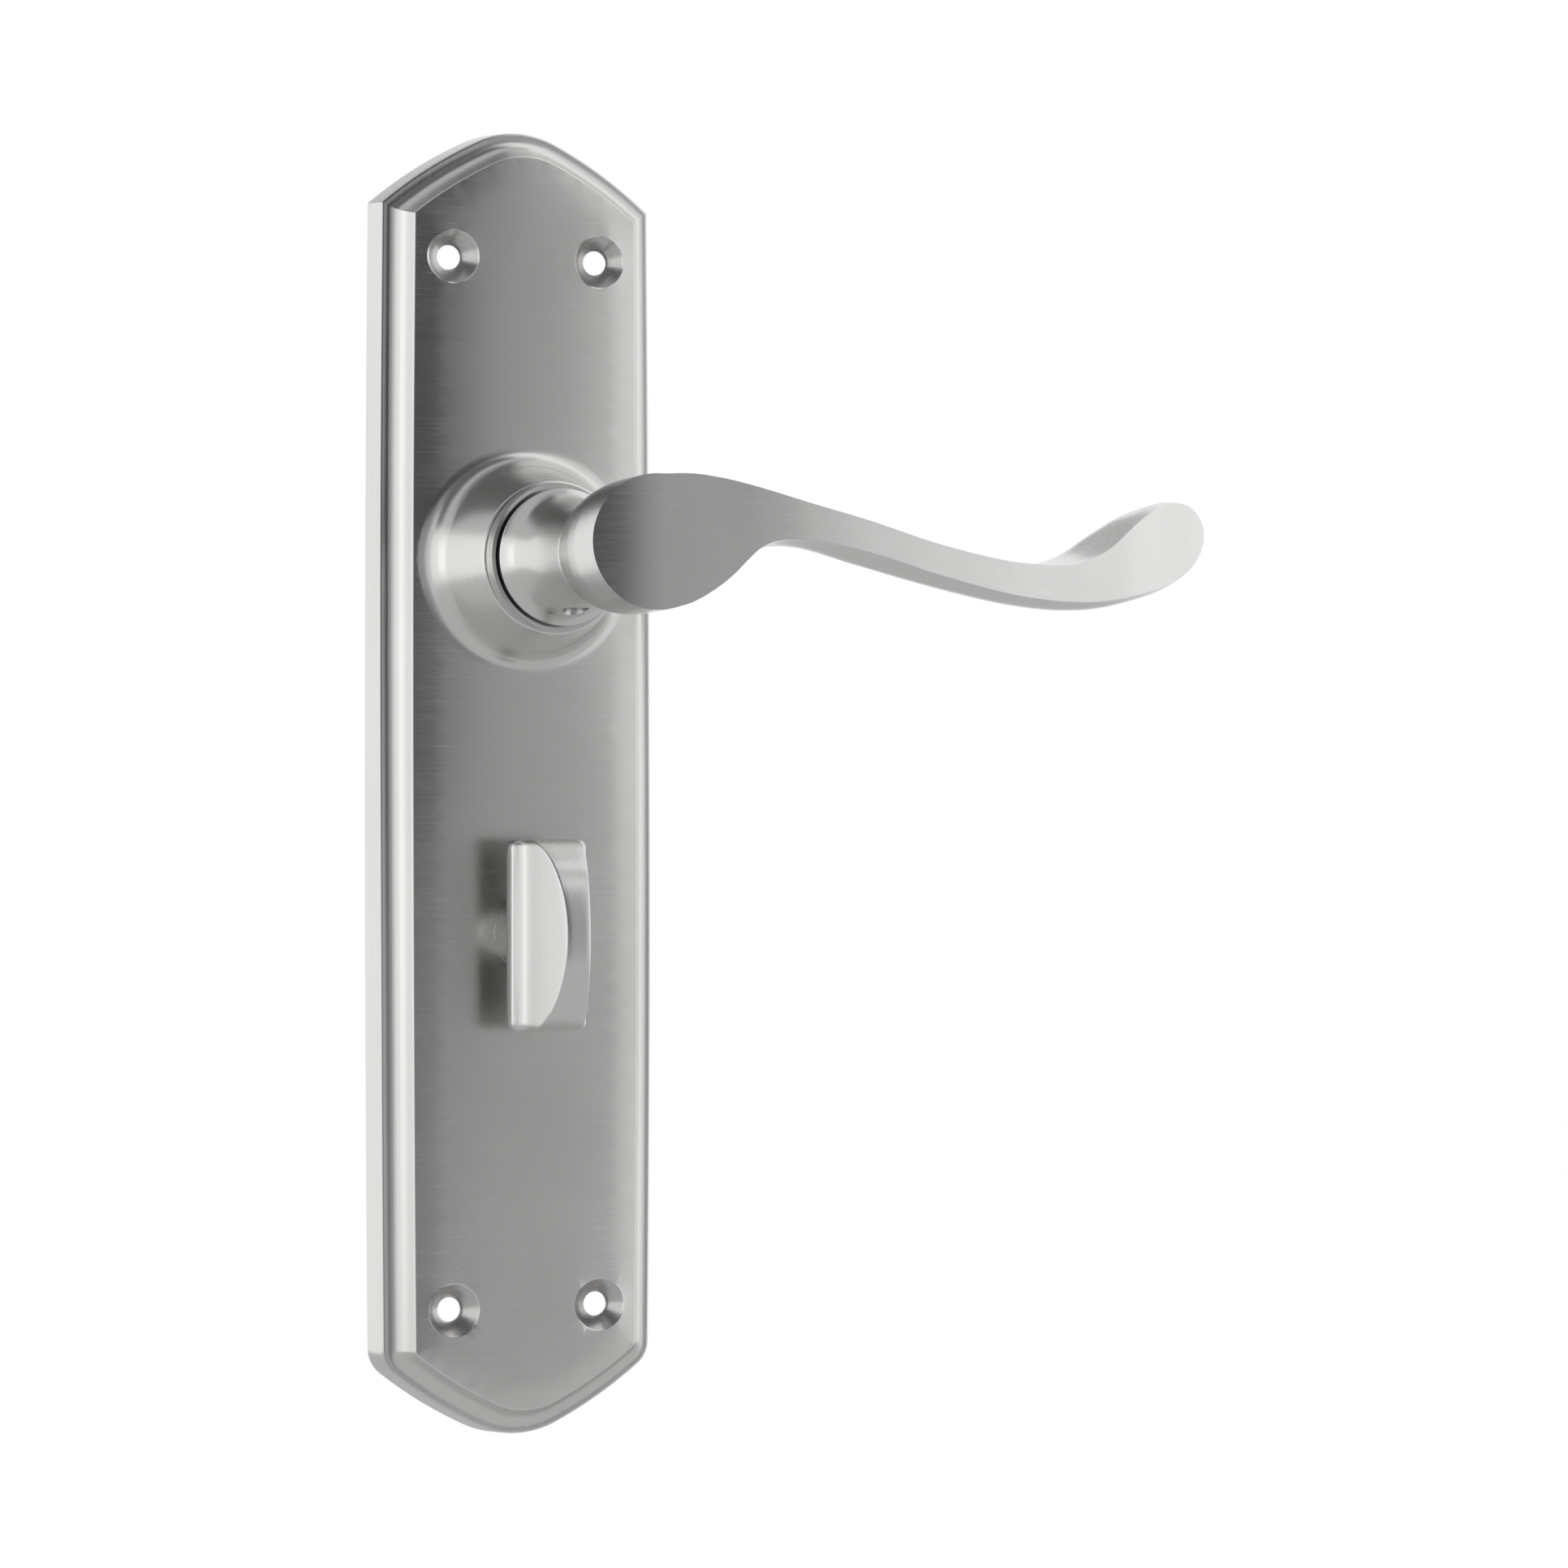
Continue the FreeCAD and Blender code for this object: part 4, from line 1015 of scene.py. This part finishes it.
# %% Neck
neck_low, neck_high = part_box("lever_handle")
spigot_end = -neck_high.y / MM
spigot_radius = 7.197
journal_radius = 7.997
flange_radius = 10.357
flange_back = boss_front + 0.3
flange_front = flange_back + 3.4
keeper_back = 5.9
groove = (2.9, 3.9)
profile = [(0.0, spigot_end), (spigot_radius - 0.2, spigot_end), (spigot_radius, spigot_end + 0.2),
           (spigot_radius, groove[0]), (spigot_radius - 0.6, groove[0]), (spigot_radius - 0.6, groove[1]),
           (spigot_radius, groove[1]), (spigot_radius, keeper_back), (journal_radius, keeper_back),
           (journal_radius, flange_back), (flange_radius - 0.25, flange_back)]
profile += [(flange_radius - 0.25 + a, flange_back + 0.25 + b) for a, b in arc((0, 0), 0.25, -60, 0, 3)]
profile += [(flange_radius - 0.5 + a, flange_front - 0.5 + b) for a, b in arc((0, 0), 0.5, 0, 60, 4)]
for step in range(1, 17):
    share = step / 16
    rise = collar_depth - flange_front
    swell = 2.35 * (1 - share) ** 3.1 + 0.04 * share
    profile.append((collar_radius + swell, flange_front + 0.1 + (rise - 0.1) * share))
profile.append((collar_radius - 0.5, collar_depth + 0.6))
profile.append((0.0, collar_depth + 0.6))

neck = Shape("neck")
spins = 112
start = neck.loop(circle(profile[1][0], profile[1][1], spins))
end = neck.belts(start, [circle(r, d, spins) for r, d in profile[2:-1]])
neck.cap(start)
neck.cap(end)
neck_piece = loose(neck)


def box_cutter(name, low, high):
    """A block to cut with, from corner to corner as (x, depth, z)."""
    shape = Shape(name)
    x0, d0, z0 = low
    x1, d1, z1 = high
    start = shape.loop([(x0, d0, z0), (x1, d0, z0), (x1, d0, z1), (x0, d0, z1)])
    end = shape.belt(start, shape.loop([(x0, d1, z0), (x1, d1, z0), (x1, d1, z1), (x0, d1, z1)]))
    shape.cap(start)
    shape.cap(end)
    return loose(shape)


socket_half = 4.1
socket_end = 31.5
spigot_flat = spigot_radius - 1.0
carve(neck_piece, box_cutter("socket", (-socket_half, -1.0, -socket_half), (socket_half, socket_end, socket_half)))
for sign in (-1, 1):
    low_x, high_x = sorted((sign * spigot_flat, sign * (spigot_flat + 3.0)))
    carve(neck_piece, box_cutter("flat", (low_x, 1.0, -9.0), (high_x, keeper_back, 9.0)))
carve(lever, neck_piece, "UNION")

# %% Grub screw hole
screw_low, screw_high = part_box("lever_grub_screw")
grub_radius = (screw_high.x - screw_low.x) / MM / 2 + 0.03
grub_depth = -(screw_low.y + screw_high.y) / MM / 2
hole = Shape("grub_hole")
around = circle(grub_radius, 0.0, 32)
start = hole.loop([(x, grub_depth + z, -3.9) for x, d, z in around])
end = hole.belt(start, hole.loop([(x, grub_depth + z, -12.0) for x, d, z in around]))
hole.cap(start)
hole.cap(end)
carve(lever, loose(hole))


# %% [markdown]
# Smooth shading alone would smear light across a flat facet, because each corner takes the average of
# the faces round it. The Weighted Normal modifier lets large flat faces win that average, so flats
# stay flat and the thin faces along an edge take the whole turn, like the worn edge of real metal.

# %% Dress a finished piece
def dress(piece, body, material, sharp_degrees, stands_for):
    data = piece.data
    data.materials.clear()
    data.materials.append(material)
    data.shade_smooth()
    data.set_sharp_from_angle(angle=math.radians(sharp_degrees))
    weighted = piece.modifiers.new("weighted", "WEIGHTED_NORMAL")
    weighted.keep_sharp = True
    weighted.weight = 80
    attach(piece, body)
    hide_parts(*stands_for)
    print(piece.name, "faces", len(data.polygons))


lever.name = "lever"
dress(lever, "lever", lever_nickel, 48.0, ("lever_handle",))

# %% [markdown]
# ## Thumb-turn
# The turn is a small casting: a slab with two hollowed cheeks that rise to a curved ridge, on a round
# stem. Every cross-section along its length has the same hollow sides, only cut off at another height,
# so the sections can be listed by height: low at the ends, and on a flat ellipse in between.

# %% Turn sections
turn_low, turn_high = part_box("turn_knob")
stem_front = 16.2
slab_half = 6.1
slab_thickness = 2.6
slab_round = 0.45
ridge_height = -turn_low.y / MM - stem_front
ridge_half = 1.9
cheek_lean = 0.243
end_height = 4.0
grip_half = (turn_high.z - turn_low.z) / MM / 2


def cheek_half(height):
    """Half the width of the grip at a height: it thins quickly above the slab, then evenly."""
    straight = ridge_half + (ridge_height - height) * cheek_lean
    foot = slab_half - ridge_half - (ridge_height - slab_thickness) * cheek_lean
    return straight + foot * math.exp((slab_thickness - max(height, slab_thickness)) / 0.6)


def turn_section(place):
    """One side of a section, as (half width, height), at a place from -1 to 1 along the grip."""
    crest = end_height + (ridge_height - end_height) * math.sqrt(max(0.0, 1.0 - place * place))
    side = [(slab_half - 0.5, 0.0), (slab_half - 0.12, 0.14), (slab_half, 0.5), (slab_half, 1.3)]
    side += [(slab_half, slab_thickness - slab_round), (slab_half - 0.1, slab_thickness - 0.12)]
    edge = 0.3
    first = slab_thickness + 0.12
    for step in range(15):
        height = first + (crest - edge - first) * (step / 14) ** 1.15
        side.append((cheek_half(height), height))
    top_half = cheek_half(crest)
    side += [(top_half - 0.06, crest - 0.1), (top_half - 0.28, crest - 0.01), (top_half * 0.5, crest),
             (top_half * 0.15, crest)]
    return side


turn = Shape("turn")
places = [math.sin(math.radians(-84 + 168 * index / 44)) for index in range(45)]
rows = []
end_round = 1.3
for place in [-1.0, *places, 1.0]:
    past = max(0.0, (grip_half * abs(place) - (grip_half - end_round)) / end_round)
    pull = end_round * (1.0 - math.sqrt(max(0.0, 1.0 - past * past))) / slab_half
    low = 0.3 * past ** 6
    row = [(x * (1.0 - pull), h - (low if h > 2.0 else 0.0)) for x, h in turn_section(place)]
    z = turn_z + grip_half * place
    rows.append([(x, stem_front + h, z) for x, h in row] + [(-x, stem_front + h, z) for x, h in reversed(row)])
start = turn.loop(rows[0])
end = turn.belts(start, rows[1:])
turn.cap(start)
turn.cap(end)
turn_piece = loose(turn)
print("turn sections:", len(rows))

# %% [markdown]
# Behind the grip the stem passes through the bush in the plate. It is turned like the neck of the
# lever, and it carries the cam and its clip behind the plate, with a square socket for the thin bar.

# %% Turn stem
stem_radius = 5.496
turn_journal = 4.396
turn_clip = (2.6, 3.3)
cam_seat = 4.9
stem_end = -turn_high.y / MM
stem_profile = [(turn_journal, stem_end), (turn_journal, turn_clip[0]), (turn_journal - 0.45, turn_clip[0]),
                (turn_journal - 0.45, turn_clip[1]), (turn_journal, turn_clip[1]), (turn_journal, 10.1),
                (stem_radius - 0.15, 10.1), (stem_radius, 10.25), (stem_radius, stem_front - 0.5),
                (stem_radius + 0.3, stem_front + 0.1), (stem_radius + 0.3, stem_front + 0.6)]
stem = Shape("turn_stem")
start = stem.loop(circle(stem_profile[0][0], stem_profile[0][1], 72, 0.0, turn_z))
end = stem.belts(start, [circle(r, d, 72, 0.0, turn_z) for r, d in stem_profile[1:]])
stem.cap(start)
stem.cap(end)
stem_piece = loose(stem)
turn_socket = 2.53
turn_flat = turn_journal - 0.7
carve(turn_piece, stem_piece, "UNION")
carve(turn_piece, box_cutter("turn_socket", (-turn_socket, -1.0, turn_z - turn_socket),
                             (turn_socket, 13.8, turn_z + turn_socket)))
for sign in (-1, 1):
    low_x, high_x = sorted((sign * turn_flat, sign * (turn_flat + 2.0)))
    carve(turn_piece, box_cutter("turn_flat", (low_x, 1.0, turn_z - 6.0), (high_x, cam_seat, turn_z + 6.0)))
turn_piece.name = "thumb_turn"
dress(turn_piece, "turn", turn_nickel, 42.0, ("turn_knob",))

# %% Finish
low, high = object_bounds()
print("visual box in mm:", [round(v * 1000, 1) for v in (*low, *high)])
